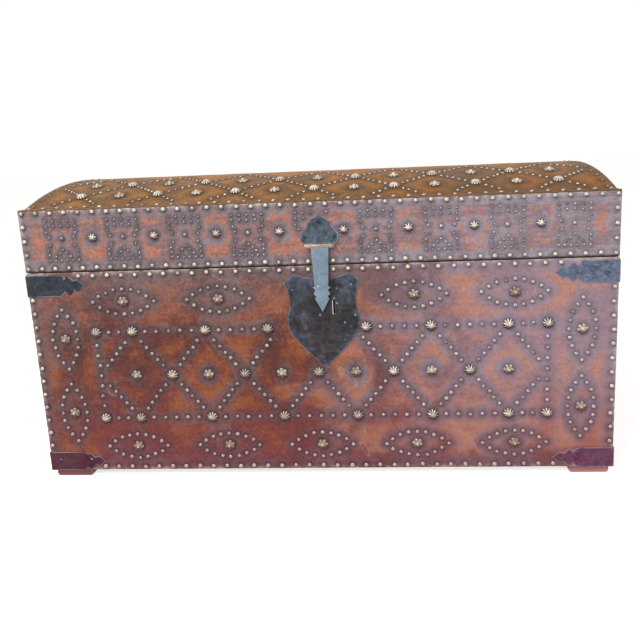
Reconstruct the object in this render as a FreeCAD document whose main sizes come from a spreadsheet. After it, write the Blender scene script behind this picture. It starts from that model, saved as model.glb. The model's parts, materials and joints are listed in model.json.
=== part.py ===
import FreeCAD, Part
import math
import os
import Sketcher

# Studded leather chest with a domed lid. Millimetres, +Z up, front towards -Y,
# origin on the floor under the middle of the chest.

# Driving dimensions
SIZES = {
    "chest_width": 1100,
    "chest_depth": 490,
    "body_height": 404,
    "lid_wall": 119,
    "lid_gap": 1.5,
    "dome_rise": 46,
    "board_thickness": 20,
    "bottom_thickness": 16,
    "stave_thickness": 14,
    "leather_thickness": 2.5,
    "foot_height": 16,
    "foot_width": 74,
    "foot_depth": 74,
    "foot_inset": 5,
    "foot_round": 6,
    "plate_thickness": 1.6,
    "plate_length": 115,
    "plate_shoulder": 65,
    "plate_barb": 4,
    "upper_plate_height": 42,
    "upper_plate_drop": 25,
    "lower_plate_height": 39,
    "lock_offset": 14,
    "shield_thickness": 2,
    "shield_drop": 14.5,
    "shield_height": 180,
    "shield_crest_half": 51,
    "shield_ear_half": 71,
    "shield_ear_drop": 16.5,
    "shield_neck_half": 63,
    "shield_neck_drop": 67.5,
    "shield_hip_half": 60,
    "shield_hip_drop": 118.5,
    "shield_crest_radius": 135,
    "shield_neck_radius": 79,
    "shield_hip_radius": 60,
    "shield_point_radius": 320,
    "keyhole_offset": 21,
    "keyhole_drop": 63,
    "keyhole_radius": 3.5,
    "keyhole_slot_width": 3.6,
    "keyhole_slot_length": 29,
    "key_pin_radius": 1.6,
    "lock_case_width": 110,
    "lock_case_height": 100,
    "lock_case_depth": 14,
    "lock_case_wall": 1.5,
    "guide_length": 5,
    "bolt_thickness": 7,
    "bolt_length": 42,
    "bolt_clearance": 0.5,
    "bolt_notch": 9,
    "staple_thickness": 6,
    "staple_web": 3,
    "staple_drop": 29,
    "slot_clearance": 1.2,
    "hasp_axis_rise": 35.5,
    "hasp_plate_thickness": 2,
    "hasp_plate_half": 35,
    "hasp_plate_height": 60,
    "hasp_plate_shoulder": 22,
    "hasp_plate_skirt": 12,
    "hasp_plate_neck_half": 22,
    "hasp_plate_neck_rise": 42,
    "hasp_knuckle_radius": 4,
    "hasp_knuckle_half": 27,
    "hasp_pin_radius": 1.8,
    "strap_thickness": 3,
    "strap_top_half": 16,
    "strap_low_half": 12.5,
    "strap_straight": 75,
    "strap_barb": 4.2,
    "strap_barb_pitch": 12,
    "strap_point_half": 13,
    "strap_length": 123.6,
    "hinge_spacing": 620,
    "hinge_half": 24,
    "hinge_leaf_thickness": 2.5,
    "hinge_body_leaf": 170,
    "hinge_lid_leaf": 100,
    "hinge_leaf_point": 26,
    "hinge_knuckle_radius": 6,
    "hinge_pin_radius": 2.6,
    "hinge_pin_head": 2,
    "pin_clearance": 0.08,
    "part_clearance": 0.3,
    "handle_height": 236,
    "handle_plate_half": 96,
    "handle_plate_rise": 23,
    "handle_plate_point": 22,
    "handle_plate_thickness": 2.5,
    "handle_axis_out": 12,
    "handle_lug_radius": 8.5,
    "handle_lug_length": 12,
    "handle_lug_place": 60,
    "bail_radius": 4.5,
    "bail_leg_place": 44,
    "bail_drop": 62,
    "bail_shoulder_round": 9,
    "bail_grip_round": 22,
    "border_margin": 7,
    "side_margin": 14,
    "border_spacing": 27.3,
    "border_nail_width": 8.6,
    "pattern_nail_width": 7.2,
    "motif_nail_width": 4.8,
    "iron_nail_width": 8,
    "nail_roundness": 0.42,
    "shank_radius": 1,
    "shank_length": 8,
    "star_width": 22,
    "small_star_width": 17,
    "melon_width": 22,
    "stud_roundness": 0.34,
    "eye_length": 119,
    "eye_height": 49,
    "eye_margin": 184,
    "eye_low": 51,
    "eye_high_drop": 59,
    "side_eye_margin": 62,
    "side_eye_gap": 150,
    "lattice_margin": 124,
    "lattice_low": 110,
    "lattice_high_drop": 119,
    "lattice_inset": 26,
    "lattice_spacing": 21,
    "leg_spacing": 14.7,
    "shield_stud_gap": 22,
    "motif_margin": 80,
    "motif_width": 56,
    "motif_height": 74,
    "motif_raise": 4,
    "dome_stud_margin": 90,
    "dome_first_row": 46.5,
    "dome_row_step": 63.2,
    "dome_end_margin": 14,
    "dome_nail_width": 6,
    "dome_inset": 22,
}

# Levels and radii worked out from the driving dimensions
LAYOUT = {
    "half_width": "Sizes.chest_width / 2",
    "half_depth": "Sizes.chest_depth / 2",
    "wood_half_width": "half_width - Sizes.leather_thickness",
    "wood_half_depth": "half_depth - Sizes.leather_thickness",
    "inner_half_width": "wood_half_width - Sizes.board_thickness",
    "inner_half_depth": "wood_half_depth - Sizes.board_thickness",
    "body_bottom": "Sizes.foot_height",
    "body_top": "body_bottom + Sizes.body_height",
    "lid_bottom": "body_top + Sizes.lid_gap",
    "lid_top": "lid_bottom + Sizes.lid_wall",
    "rail_top": "lid_top - Sizes.leather_thickness",
    "stave_radius": "(inner_half_depth ^ 2 + Sizes.dome_rise ^ 2) / (2 * Sizes.dome_rise)",
    "dome_centre": "rail_top + Sizes.dome_rise - stave_radius",
    "dome_radius": "stave_radius + Sizes.leather_thickness",
    "stave_inner_radius": "stave_radius - Sizes.stave_thickness",
    "stave_angle": "asin(inner_half_depth / stave_radius)",
    "dome_foot": "sqrt(dome_radius ^ 2 - (lid_top - dome_centre) ^ 2)",
    "hinge_axis_out": "Sizes.hinge_knuckle_radius + Sizes.part_clearance",
    "hinge_axis_z": "body_top + Sizes.lid_gap / 2",
    "hasp_axis_out": "Sizes.hasp_knuckle_radius + Sizes.part_clearance",
    "hasp_axis_z": "lid_bottom + Sizes.hasp_axis_rise",
    "strap_back": "hasp_axis_out - Sizes.strap_thickness / 3",
    "staple_z": "body_top - Sizes.staple_drop",
    "case_front": "half_depth - Sizes.leather_thickness - Sizes.board_thickness + Sizes.lock_case_depth",
    "case_back": "case_front - Sizes.lock_case_depth",
    "bolt_y": "case_front - Sizes.lock_case_depth / 2 + Sizes.lock_case_wall / 2",
    "eye_half": "Sizes.bolt_thickness / 2 + Sizes.bolt_clearance",
    "slot_half": "Sizes.staple_thickness / 2 + Sizes.slot_clearance",
    "staple_inner_y": "bolt_y - eye_half - Sizes.staple_web / 2",
    "staple_reach": "half_depth + hasp_axis_out - staple_inner_y",
    "staple_fall": "hasp_axis_z - staple_z + eye_half + Sizes.staple_web",
    "staple_swing": "sqrt(staple_reach ^ 2 + staple_fall ^ 2)",
    "slot_bottom": "hasp_axis_z - staple_swing - Sizes.slot_clearance",
    "keyhole_x": "Sizes.lock_offset + Sizes.keyhole_offset",
    "keyhole_z": "body_top - Sizes.keyhole_drop",
    "handle_z": "body_bottom + Sizes.handle_height",
}

STAVE_COUNT = 7
PLANK_COUNT = 3
DOME_ROWS = 2
DOME_COLUMNS = 7
MOTIF_COUNT = 9
LATTICE_BAYS = 3
EYE_COLUMNS = 2
EYE_STEPS = 8
# Teeth of a corner plate: share of the way from its shoulder to its tip, and share of its half height
PLATE_TEETH = ((0, 1), (0.08, 0.97), (0.2, 0.6), (0.36, 0.95), (0.57, 0.45), (0.73, 0.57))
LEFT, RIGHT, FRONT, BACK = -1, 1, -1, 1

doc = FreeCAD.newDocument("chest")
sizes = doc.addObject("Spreadsheet::Sheet", "Sizes")
for row, (alias, number) in enumerate(SIZES.items(), start=1):
    sizes.set(f"A{row}", alias)
    sizes.set(f"B{row}", str(number))
    sizes.setAlias(f"B{row}", alias)
doc.recompute()
layout = doc.addObject("Spreadsheet::Sheet", "Layout")
for row, (alias, formula) in enumerate(LAYOUT.items(), start=1):
    layout.set(f"A{row}", alias)
    layout.setAlias(f"B{row}", alias)
for row, (alias, formula) in enumerate(LAYOUT.items(), start=1):
    layout.set(f"B{row}", "=" + formula)
doc.recompute()

nodes = []


def size(alias):
    return float(sizes.get(alias))


def level(alias):
    return float(layout.get(alias))


def value(expression):
    return float(layout.evalExpression(expression))


def node(piece, label):
    piece.Label = label
    nodes.append(piece)
    return piece


def place(piece, x, y, z):
    for axis, expression in zip("xyz", (x, y, z)):
        piece.setExpression(f"Placement.Base.{axis}", expression)


def box(name, length, width, height, x, y, z):
    piece = doc.addObject("Part::Box", name)
    piece.setExpression("Length", length)
    piece.setExpression("Width", width)
    piece.setExpression("Height", height)
    place(piece, x, y, z)
    return piece


def cylinder(name, radius, height, x, y, z, axis):
    piece = doc.addObject("Part::Cylinder", name)
    piece.setExpression("Radius", radius)
    piece.setExpression("Height", height)
    piece.Placement = FreeCAD.Placement(
        FreeCAD.Vector(), FreeCAD.Rotation(FreeCAD.Vector(0, 0, 1), axis)
    )
    place(piece, x, y, z)
    return piece


def fuse(name, pieces):
    piece = doc.addObject("Part::MultiFuse", name)
    piece.Shapes = pieces
    return piece


def cut(name, base, tool):
    piece = doc.addObject("Part::Cut", name)
    piece.Base = base
    piece.Tool = tool
    return piece


def group(label, pieces):
    piece = doc.addObject("Part::Compound", label)
    piece.Links = pieces
    return node(piece, label)


def body_at(name, x, y, z):
    piece = doc.addObject("PartDesign::Body", name)
    place(piece, x, y, z)
    return piece


def sketch_on(body, name, role, offset):
    plane = next(f for f in body.Origin.OriginFeatures if f.Role == role)
    sketch = body.newObject("Sketcher::SketchObject", name)
    sketch.AttachmentSupport = [(plane, "")]
    sketch.MapMode = "FlatFace"
    if offset:
        sketch.setExpression("AttachmentOffset.Base.z", offset)
    return sketch


def bind(sketch, kind, expression, *targets):
    index = sketch.addConstraint(Sketcher.Constraint(kind, *targets, value(expression)))
    sketch.setExpression(f"Constraints[{index}]", expression)


def arc_middle(start, end, radius, side):
    chord = end - start
    sagitta = radius - math.sqrt(radius**2 - chord.Length**2 / 4)
    left = FreeCAD.Vector(-chord.y, chord.x, 0).normalize()
    return (start + end) / 2 + left * side * sagitta


# An edge runs from each corner to the next one. A corner is (x, y) for a straight edge, or
# (x, y, radius, side) for an arc that bulges to the left (1) or the right (-1) of the way.
def draw(sketch, corners, closed=True):
    points = [FreeCAD.Vector(value(c[0]), value(c[1]), 0) for c in corners]
    count = len(corners)
    edges = []
    for i in range(count if closed else count - 1):
        start, end = points[i], points[(i + 1) % count]
        if len(corners[i]) == 4:
            middle = arc_middle(start, end, value(corners[i][2]), corners[i][3])
            edge = sketch.addGeometry(Part.Arc(start, middle, end), False)
        else:
            edge = sketch.addGeometry(Part.LineSegment(start, end), False)
        first = 1 if sketch.getPoint(edge, 1).distanceToPoint(start) < 1e-6 else 2
        edges.append((edge, first, 3 - first))
    for i, (edge, first, last) in enumerate(edges):
        bind(sketch, "DistanceX", corners[i][0], -1, 1, edge, first)
        bind(sketch, "DistanceY", corners[i][1], -1, 1, edge, first)
        if len(corners[i]) == 4:
            bind(sketch, "Radius", corners[i][2], edge)
        if closed or i + 1 < len(edges):
            follower = edges[(i + 1) % len(edges)]
            sketch.addConstraint(
                Sketcher.Constraint("Coincident", edge, last, follower[0], follower[1])
            )
    if not closed:
        edge, first, last = edges[-1]
        bind(sketch, "DistanceX", corners[-1][0], -1, 1, edge, last)
        bind(sketch, "DistanceY", corners[-1][1], -1, 1, edge, last)


def circle(sketch, x, y, radius):
    centre = FreeCAD.Vector(value(x), value(y), 0)
    ring = sketch.addGeometry(
        Part.Circle(centre, FreeCAD.Vector(0, 0, 1), value(radius)), False
    )
    bind(sketch, "DistanceX", x, -1, 1, ring, 3)
    bind(sketch, "DistanceY", y, -1, 1, ring, 3)
    bind(sketch, "Radius", radius, ring)


def pad(body, sketch, length, reverse=False):
    feature = body.newObject("PartDesign::Pad", sketch.Name + "_pad")
    feature.Profile = sketch
    feature.setExpression("Length", length)
    feature.Reversed = reverse
    return feature


def padded(body, name, role, outlines, length, offset=None, reverse=False):
    sketch = sketch_on(body, name, role, offset)
    for outline in outlines:
        draw(sketch, outline)
    return pad(body, sketch, length, reverse)


def tube(body, name, role, x, y, outer, inner, length, offset=None, reverse=False):
    sketch = sketch_on(body, name, role, offset)
    circle(sketch, x, y, outer)
    circle(sketch, x, y, inner)
    return pad(body, sketch, length, reverse)


# Wooden carcass of the body: front and back run the full width, the ends stand between them
def carcass():
    width = "2 * Layout.wood_half_width"
    depth = "2 * Layout.inner_half_depth"
    board = "Sizes.board_thickness"
    tall = "Sizes.body_height"
    floor = "Layout.body_bottom"
    left_x = "-Layout.wood_half_width"
    blank = box("front_blank", width, board, tall, left_x, "-Layout.wood_half_depth", floor)
    node(cut("front_board", blank, front_openings("board")), "front_board")
    back = box("back_board", width, board, tall, left_x, "Layout.inner_half_depth", floor)
    node(back, "back_board")
    near = "-Layout.inner_half_depth"
    node(box("left_end_board", board, depth, tall, left_x, near, floor), "left_end_board")
    right_x = "Layout.inner_half_width"
    node(box("right_end_board", board, depth, tall, right_x, near, floor), "right_end_board")
    planks = []
    for i in range(PLANK_COUNT):
        planks.append(
            box(
                f"bottom_plank_{i + 1}",
                "2 * Layout.inner_half_width",
                f"2 * Layout.inner_half_depth / {PLANK_COUNT}",
                "Sizes.bottom_thickness",
                "-Layout.inner_half_width",
                f"Layout.inner_half_depth * ({2 * i} / {PLANK_COUNT} - 1)",
                floor,
            )
        )
    group("bottom_planks", planks)


# Room for the lock: the staple's slot, open at the top so that the lid lifts straight out,
# and the keyhole. The board also has the mortise that the lock case is let into.
def front_openings(name):
    through = "2 * (Sizes.board_thickness + Sizes.leather_thickness)"
    outside = "-Layout.half_depth - Sizes.board_thickness"
    slot = box(
        f"{name}_staple_slot",
        "2 * Layout.slot_half",
        through,
        "Layout.body_top - Layout.slot_bottom",
        "Sizes.lock_offset - Layout.slot_half",
        outside,
        "Layout.slot_bottom",
    )
    eye = cylinder(
        f"{name}_key_eye",
        "Sizes.keyhole_radius",
        through,
        "Layout.keyhole_x",
        outside,
        "Layout.keyhole_z",
        FreeCAD.Vector(0, 1, 0),
    )
    throat = box(
        f"{name}_key_throat",
        "Sizes.keyhole_slot_width",
        through,
        "Sizes.keyhole_slot_length",
        "Layout.keyhole_x - Sizes.keyhole_slot_width / 2",
        outside,
        "Layout.keyhole_z - Sizes.keyhole_slot_length",
    )
    tools = [slot, eye, throat]
    if name == "board":
        tools.append(
            box(
                "lock_mortise",
                "Sizes.lock_case_width",
                "Sizes.lock_case_depth",
                "Sizes.lock_case_height",
                "Sizes.lock_offset - Sizes.lock_case_width / 2",
                "-Layout.case_front",
                "Layout.body_top - Sizes.lock_case_height",
            )
        )
    return fuse(f"{name}_openings", tools)


def body_leather():
    skin = "Sizes.leather_thickness"
    tall = "Sizes.body_height"
    floor = "Layout.body_bottom"
    width = "Sizes.chest_width"
    left_x = "-Layout.half_width"
    blank = box("front_hide", width, skin, tall, left_x, "-Layout.half_depth", floor)
    node(cut("front_leather", blank, front_openings("leather")), "front_leather")
    back = box("back_leather", width, skin, tall, left_x, "Layout.wood_half_depth", floor)
    node(back, "back_leather")
    depth = "2 * Layout.wood_half_depth"
    near = "-Layout.wood_half_depth"
    node(box("left_end_leather", skin, depth, tall, left_x, near, floor), "left_end_leather")
    right_x = "Layout.wood_half_width"
    node(box("right_end_leather", skin, depth, tall, right_x, near, floor), "right_end_leather")


def feet():
    half = "Sizes.foot_width / 2"
    bend = "Sizes.foot_round"
    profile = [
        (f"-{half}", "Sizes.foot_height"),
        (f"-{half}", bend, bend, -1),
        (f"-{half} + {bend}", "0"),
        (f"{half} - {bend}", "0", bend, -1),
        (half, bend),
        (half, "Sizes.foot_height"),
    ]
    for row, near in (("front", FRONT), ("back", BACK)):
        for hand, side in (("left", LEFT), ("right", RIGHT)):
            label = f"{row}_{hand}_foot"
            foot = body_at(
                label,
                f"{side} * (Layout.half_width - Sizes.foot_inset - Sizes.foot_width / 2)",
                f"{near} * (Layout.half_depth - Sizes.foot_inset)",
                "0",
            )
            padded(foot, label + "_profile", "XZ_Plane", [profile], "Sizes.foot_depth", None, near < 0)
            node(foot, label)


# One leg of a corner plate, seen square on: `along` runs from the corner, `up` from its middle
def jagged_leg(side, height):
    reach = "(Sizes.plate_length - Sizes.plate_shoulder)"
    shape = [("0", f"{height} / 2")]
    for share, rise in PLATE_TEETH:
        shape.append((f"Sizes.plate_shoulder + {reach} * {share}", f"{height} / 2 * {rise}"))
    lower = [(along, f"-({up})") for along, up in reversed(shape)]
    whole = shape + [("Sizes.plate_length", "0")] + lower
    return [(f"{side} * (Sizes.plate_thickness - ({along}))", up) for along, up in whole]


def corner_plates():
    levels = (
        ("upper", "Sizes.upper_plate_height", "Layout.body_top - Sizes.upper_plate_drop"),
        ("lower", "Sizes.lower_plate_height", "Layout.body_bottom + Sizes.lower_plate_height / 2"),
    )
    for tier, height, middle in levels:
        for row, near in (("front", FRONT), ("back", BACK)):
            for hand, side in (("left", LEFT), ("right", RIGHT)):
                label = f"{tier}_{row}_{hand}_corner_plate"
                plate = body_at(
                    label, f"{side} * Layout.half_width", f"{near} * Layout.half_depth", middle
                )
                thick = "Sizes.plate_thickness"
                face = [jagged_leg(side, height)]
                padded(plate, label + "_face", "XZ_Plane", face, thick, None, near > 0)
                end = [jagged_leg(near, height)]
                padded(plate, label + "_end", "YZ_Plane", end, thick, None, side < 0)
                node(plate, label)


def shield():
    drop = "-Sizes.shield_"
    plate = body_at(
        "lock_plate",
        "Sizes.lock_offset",
        "-Layout.half_depth",
        "Layout.body_top - Sizes.shield_drop",
    )
    crest = "Sizes.shield_crest_half"
    # the crest's hollow is cut by the slot, so each half of it is an arc of its own circle
    dip = f"sqrt(Sizes.shield_crest_radius ^ 2 - {crest} ^ 2)"
    slot_level = f"{dip} - sqrt(Sizes.shield_crest_radius ^ 2 - Layout.slot_half ^ 2)"
    slot_floor = "Layout.slot_bottom - Layout.body_top + Sizes.shield_drop"
    right = [
        ("Layout.slot_half", slot_floor),
        ("Layout.slot_half", slot_level, "Sizes.shield_crest_radius", -1),
        (crest, "0"),
        ("Sizes.shield_ear_half", f"{drop}ear_drop", "Sizes.shield_neck_radius", -1),
        ("Sizes.shield_neck_half", f"{drop}neck_drop", "Sizes.shield_hip_radius", 1),
        ("Sizes.shield_hip_half", f"{drop}hip_drop", "Sizes.shield_point_radius", 1),
    ]
    left = [
        ("0", f"{drop}height", "Sizes.shield_point_radius", 1),
        ("-Sizes.shield_hip_half", f"{drop}hip_drop", "Sizes.shield_hip_radius", 1),
        ("-Sizes.shield_neck_half", f"{drop}neck_drop", "Sizes.shield_neck_radius", -1),
        ("-Sizes.shield_ear_half", f"{drop}ear_drop"),
        (f"-{crest}", "0", "Sizes.shield_crest_radius", -1),
        ("-Layout.slot_half", slot_level),
        ("-Layout.slot_half", slot_floor),
    ]
    half = "Sizes.keyhole_slot_width / 2"
    eye_x = "Sizes.keyhole_offset"
    eye_z = "Sizes.shield_drop - Sizes.keyhole_drop"
    eye_low = f"{eye_z} - sqrt(Sizes.keyhole_radius ^ 2 - ({half}) ^ 2)"
    throat = f"{eye_z} - Sizes.keyhole_slot_length"
    keyhole = [
        (f"{eye_x} - {half}", throat),
        (f"{eye_x} + {half}", throat),
        (f"{eye_x} + {half}", eye_low, "Sizes.keyhole_radius", -1),
        (f"{eye_x}", f"{eye_z} + Sizes.keyhole_radius", "Sizes.keyhole_radius", -1),
        (f"{eye_x} - {half}", eye_low),
    ]
    thick = "Sizes.shield_thickness"
    padded(plate, "lock_plate_outline", "XZ_Plane", [right + left, keyhole], thick)
    node(plate, "lock_plate")


def lock():
    wall = "Sizes.lock_case_wall"
    case_x = "Sizes.lock_offset - Sizes.lock_case_width / 2"
    case_z = "Layout.body_top - Sizes.lock_case_height"
    shell = box(
        "lock_case_block",
        "Sizes.lock_case_width",
        "Sizes.lock_case_depth",
        "Sizes.lock_case_height",
        case_x,
        "-Layout.case_front",
        case_z,
    )
    hollow = box(
        "lock_case_hollow",
        f"Sizes.lock_case_width - 2 * {wall}",
        f"Sizes.lock_case_depth - {wall}",
        f"Sizes.lock_case_height - 2 * {wall}",
        f"{case_x} + {wall}",
        "-Layout.case_front",
        f"{case_z} + {wall}",
    )
    mouth = box(
        "lock_case_mouth",
        "2 * Layout.slot_half",
        f"Sizes.lock_case_depth - {wall}",
        f"2 * {wall}",
        "Sizes.lock_offset - Layout.slot_half",
        "-Layout.case_front",
        f"Layout.body_top - {wall}",
    )
    opened = cut("lock_case_shell", shell, fuse("lock_case_room", [hollow, mouth]))
    guides = []
    bolt_start = "Sizes.lock_offset + Layout.slot_half"
    reach = "Layout.eye_half + Sizes.staple_web"
    guide_places = {
        "near": f"{bolt_start} + 2 * {wall}",
        "far": f"{bolt_start} + Sizes.bolt_length - Sizes.guide_length",
        "keeper": "Sizes.lock_offset - Layout.slot_half - Sizes.guide_length",
    }
    for name, x in guide_places.items():
        guides.append(
            box(
                f"bolt_guide_{name}",
                "Sizes.guide_length",
                f"Layout.bolt_y + Layout.eye_half + {wall} - Layout.case_back",
                f"2 * ({reach})",
                x,
                f"-Layout.bolt_y - Layout.eye_half - {wall}",
                f"Layout.staple_z - ({reach})",
            )
        )
    way = box(
        "bolt_way",
        "Sizes.lock_case_width",
        "2 * Layout.eye_half",
        "2 * Layout.eye_half",
        case_x,
        "-Layout.bolt_y - Layout.eye_half",
        "Layout.staple_z - Layout.eye_half",
    )
    bored = cut("bolt_guides", fuse("guide_blocks", guides), way)
    node(fuse("lock_case", [opened, bored]), "lock_case")
    bolt_bar = box(
        "bolt_bar",
        "Sizes.bolt_length",
        "Sizes.bolt_thickness",
        "Sizes.bolt_thickness",
        bolt_start,
        "-Layout.bolt_y - Sizes.bolt_thickness / 2",
        "Layout.staple_z - Sizes.bolt_thickness / 2",
    )
    notch = box(
        "bolt_notch",
        "Sizes.bolt_notch",
        "Sizes.bolt_thickness",
        "Sizes.bolt_thickness / 3",
        f"{bolt_start} + Sizes.bolt_length / 2 - Sizes.bolt_notch / 2",
        "-Layout.bolt_y - Sizes.bolt_thickness / 2",
        "Layout.staple_z - Sizes.bolt_thickness / 2",
    )
    node(cut("lock_bolt", bolt_bar, notch), "lock_bolt")
    pin = cylinder(
        "key_pin",
        "Sizes.key_pin_radius",
        f"Layout.half_depth - Layout.case_back - {wall}",
        "Layout.keyhole_x",
        f"-Layout.case_back - {wall}",
        "Layout.keyhole_z",
        FreeCAD.Vector(0, -1, 0),
    )
    node(pin, "key_pin")


# Spade-shaped plate on the lid's front with the two outer knuckles of the hasp's hinge
def hasp_plate():
    plate = body_at("hasp_plate", "Sizes.lock_offset", "-Layout.half_depth", "Layout.hasp_axis_z")
    clear = "Sizes.part_clearance"
    notch = f"Sizes.strap_top_half + {clear}"
    notch_top = f"Sizes.hasp_knuckle_radius + {clear}"
    side = [
        (notch, notch_top),
        (notch, "0"),
        ("Sizes.hasp_knuckle_half", "0"),
        ("Sizes.hasp_plate_half", "Sizes.hasp_plate_skirt"),
        ("Sizes.hasp_plate_half", "Sizes.hasp_plate_shoulder"),
        ("Sizes.hasp_plate_neck_half", "Sizes.hasp_plate_neck_rise - Sizes.plate_barb"),
        ("Sizes.hasp_plate_neck_half", "Sizes.hasp_plate_neck_rise"),
    ]
    other = [(f"-({x})", z) for x, z in reversed(side)]
    outline = side + [("0", "Sizes.hasp_plate_height")] + other
    padded(plate, "hasp_plate_outline", "XZ_Plane", [outline], "Sizes.hasp_plate_thickness")
    bore = "Sizes.hasp_pin_radius + Sizes.pin_clearance"
    length = f"Sizes.hasp_knuckle_half - ({notch})"
    out = "-Layout.hasp_axis_out"
    for name, start in (("right", notch), ("left", "-Sizes.hasp_knuckle_half")):
        sketch_name = f"hasp_plate_knuckle_{name}"
        outer = "Sizes.hasp_knuckle_radius"
        tube(plate, sketch_name, "YZ_Plane", out, "0", outer, bore, length, start)
    node(plate, "hasp_plate")
    pin = cylinder(
        "hasp_pin",
        "Sizes.hasp_pin_radius",
        "2 * Sizes.hasp_knuckle_half",
        "Sizes.lock_offset - Sizes.hasp_knuckle_half",
        "-Layout.half_depth - Layout.hasp_axis_out",
        "Layout.hasp_axis_z",
        FreeCAD.Vector(1, 0, 0),
    )
    node(pin, "hasp_pin")


# Tapered strap with barbed edges and a leaf-shaped point, hanging from its own knuckle
def hasp_strap():
    strap = body_at("hasp_strap", "Sizes.lock_offset", "-Layout.half_depth", "Layout.hasp_axis_z")
    top = "-(Sizes.hasp_pin_radius + Sizes.hasp_knuckle_radius) / 2"
    side = [("Sizes.strap_top_half", top), ("Sizes.strap_low_half", "-Sizes.strap_straight")]
    for barb in (0, 1):
        low = f"-Sizes.strap_straight - {barb} * Sizes.strap_barb_pitch"
        flare = f"Sizes.strap_low_half + Sizes.strap_barb - {barb} * Sizes.strap_barb / 4"
        waist = f"Sizes.strap_low_half - Sizes.strap_barb / 4 * {barb + 1}"
        side.append((flare, f"{low} - Sizes.strap_barb / 2"))
        side.append((waist, f"{low} - Sizes.strap_barb_pitch * 0.6"))
    side.append(("Sizes.strap_point_half", "-Sizes.strap_straight - 2 * Sizes.strap_barb_pitch"))
    other = [(f"-({x})", z) for x, z in reversed(side)]
    outline = side + [("0", "-Sizes.strap_length")] + other
    thick = "Sizes.strap_thickness"
    padded(strap, "hasp_strap_outline", "XZ_Plane", [outline], thick, "Layout.strap_back")
    bore = "Sizes.hasp_pin_radius + Sizes.pin_clearance"
    tube(
        strap,
        "hasp_strap_knuckle",
        "YZ_Plane",
        "-Layout.hasp_axis_out",
        "0",
        "Sizes.hasp_knuckle_radius",
        bore,
        "2 * Sizes.strap_top_half",
        "-Sizes.strap_top_half",
    )
    node(strap, "hasp_strap")
    half = "(Layout.eye_half + Sizes.staple_web)"
    depth = "Layout.half_depth + Layout.strap_back - Layout.staple_inner_y"
    blank = box(
        "staple_blank",
        "Sizes.staple_thickness",
        depth,
        f"2 * {half}",
        "Sizes.lock_offset - Sizes.staple_thickness / 2",
        "-Layout.half_depth - Layout.strap_back",
        f"Layout.staple_z - {half}",
    )
    eye = box(
        "staple_eye",
        "2 * Sizes.staple_thickness",
        "2 * Layout.eye_half",
        "2 * Layout.eye_half",
        "Sizes.lock_offset - Sizes.staple_thickness",
        "-Layout.bolt_y - Layout.eye_half",
        "Layout.staple_z - Layout.eye_half",
    )
    node(cut("hasp_staple", blank, eye), "hasp_staple")


# Back hinges: each leaf is a pointed strap with its knuckles, notched for the other leaf's
def hinges():
    half = "Sizes.hinge_half"
    third = f"{half} / 3"
    clear = "Sizes.part_clearance"
    notch = f"Sizes.hinge_knuckle_radius + {clear}"
    bore = "Sizes.hinge_pin_radius + Sizes.pin_clearance"
    outer = "Sizes.hinge_knuckle_radius"
    out = "Layout.hinge_axis_out"
    thick = "Sizes.hinge_leaf_thickness"
    pins = []
    for hand, side in (("left", LEFT), ("right", RIGHT)):
        x = f"{side} * Sizes.hinge_spacing / 2"
        lower = body_at(f"{hand}_hinge_body_leaf", x, "Layout.half_depth", "Layout.hinge_axis_z")
        tail = "-Sizes.hinge_body_leaf"
        outline = [
            (f"-({third})", f"-({notch})"),
            (f"-({third})", "0"),
            (f"-{half}", "0"),
            (f"-{half}", f"{tail} + Sizes.hinge_leaf_point"),
            ("0", tail),
            (half, f"{tail} + Sizes.hinge_leaf_point"),
            (half, "0"),
            (third, "0"),
            (third, f"-({notch})"),
        ]
        padded(lower, f"{hand}_body_leaf", "XZ_Plane", [outline], thick, None, True)
        length = f"{half} - {third}"
        for name, start in (("left", f"-{half}"), ("right", third)):
            sketch_name = f"{hand}_body_knuckle_{name}"
            tube(lower, sketch_name, "YZ_Plane", out, "0", outer, bore, length, start)
        node(lower, f"{hand}_hinge_body_leaf")
        upper = body_at(f"{hand}_hinge_lid_leaf", x, "Layout.half_depth", "Layout.hinge_axis_z")
        head = "Sizes.hinge_lid_leaf"
        inner = f"({third} - {clear})"
        outline = [
            (inner, notch),
            (inner, "Sizes.lid_gap"),
            (f"-{inner}", "Sizes.lid_gap"),
            (f"-{inner}", notch),
            (f"-{half}", notch),
            (f"-{half}", f"{head} - Sizes.hinge_leaf_point"),
            ("0", head),
            (half, f"{head} - Sizes.hinge_leaf_point"),
            (half, notch),
        ]
        padded(upper, f"{hand}_lid_leaf", "XZ_Plane", [outline], thick, None, True)
        sketch_name = f"{hand}_lid_knuckle"
        tube(upper, sketch_name, "YZ_Plane", out, "0", outer, bore, f"2 * {inner}", f"-{inner}")
        node(upper, f"{hand}_hinge_lid_leaf")
        axis_y = "Layout.half_depth + Layout.hinge_axis_out"
        along = FreeCAD.Vector(1, 0, 0)
        shaft = cylinder(
            f"{hand}_pin_shaft",
            "Sizes.hinge_pin_radius",
            f"2 * {half} + 2 * Sizes.hinge_pin_head",
            f"{x} - {half} - Sizes.hinge_pin_head",
            axis_y,
            "Layout.hinge_axis_z",
            along,
        )
        heads = []
        head_places = {"left": f"{x} - {half} - Sizes.hinge_pin_head", "right": f"{x} + {half}"}
        for name, start in head_places.items():
            heads.append(
                cylinder(
                    f"{hand}_pin_head_{name}",
                    "Sizes.hinge_pin_radius + Sizes.hinge_pin_head",
                    "Sizes.hinge_pin_head",
                    start,
                    axis_y,
                    "Layout.hinge_axis_z",
                    along,
                )
            )
        pins.append(fuse(f"{hand}_hinge_pin", [shaft, *heads]))
    group("hinge_pins", pins)


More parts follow.
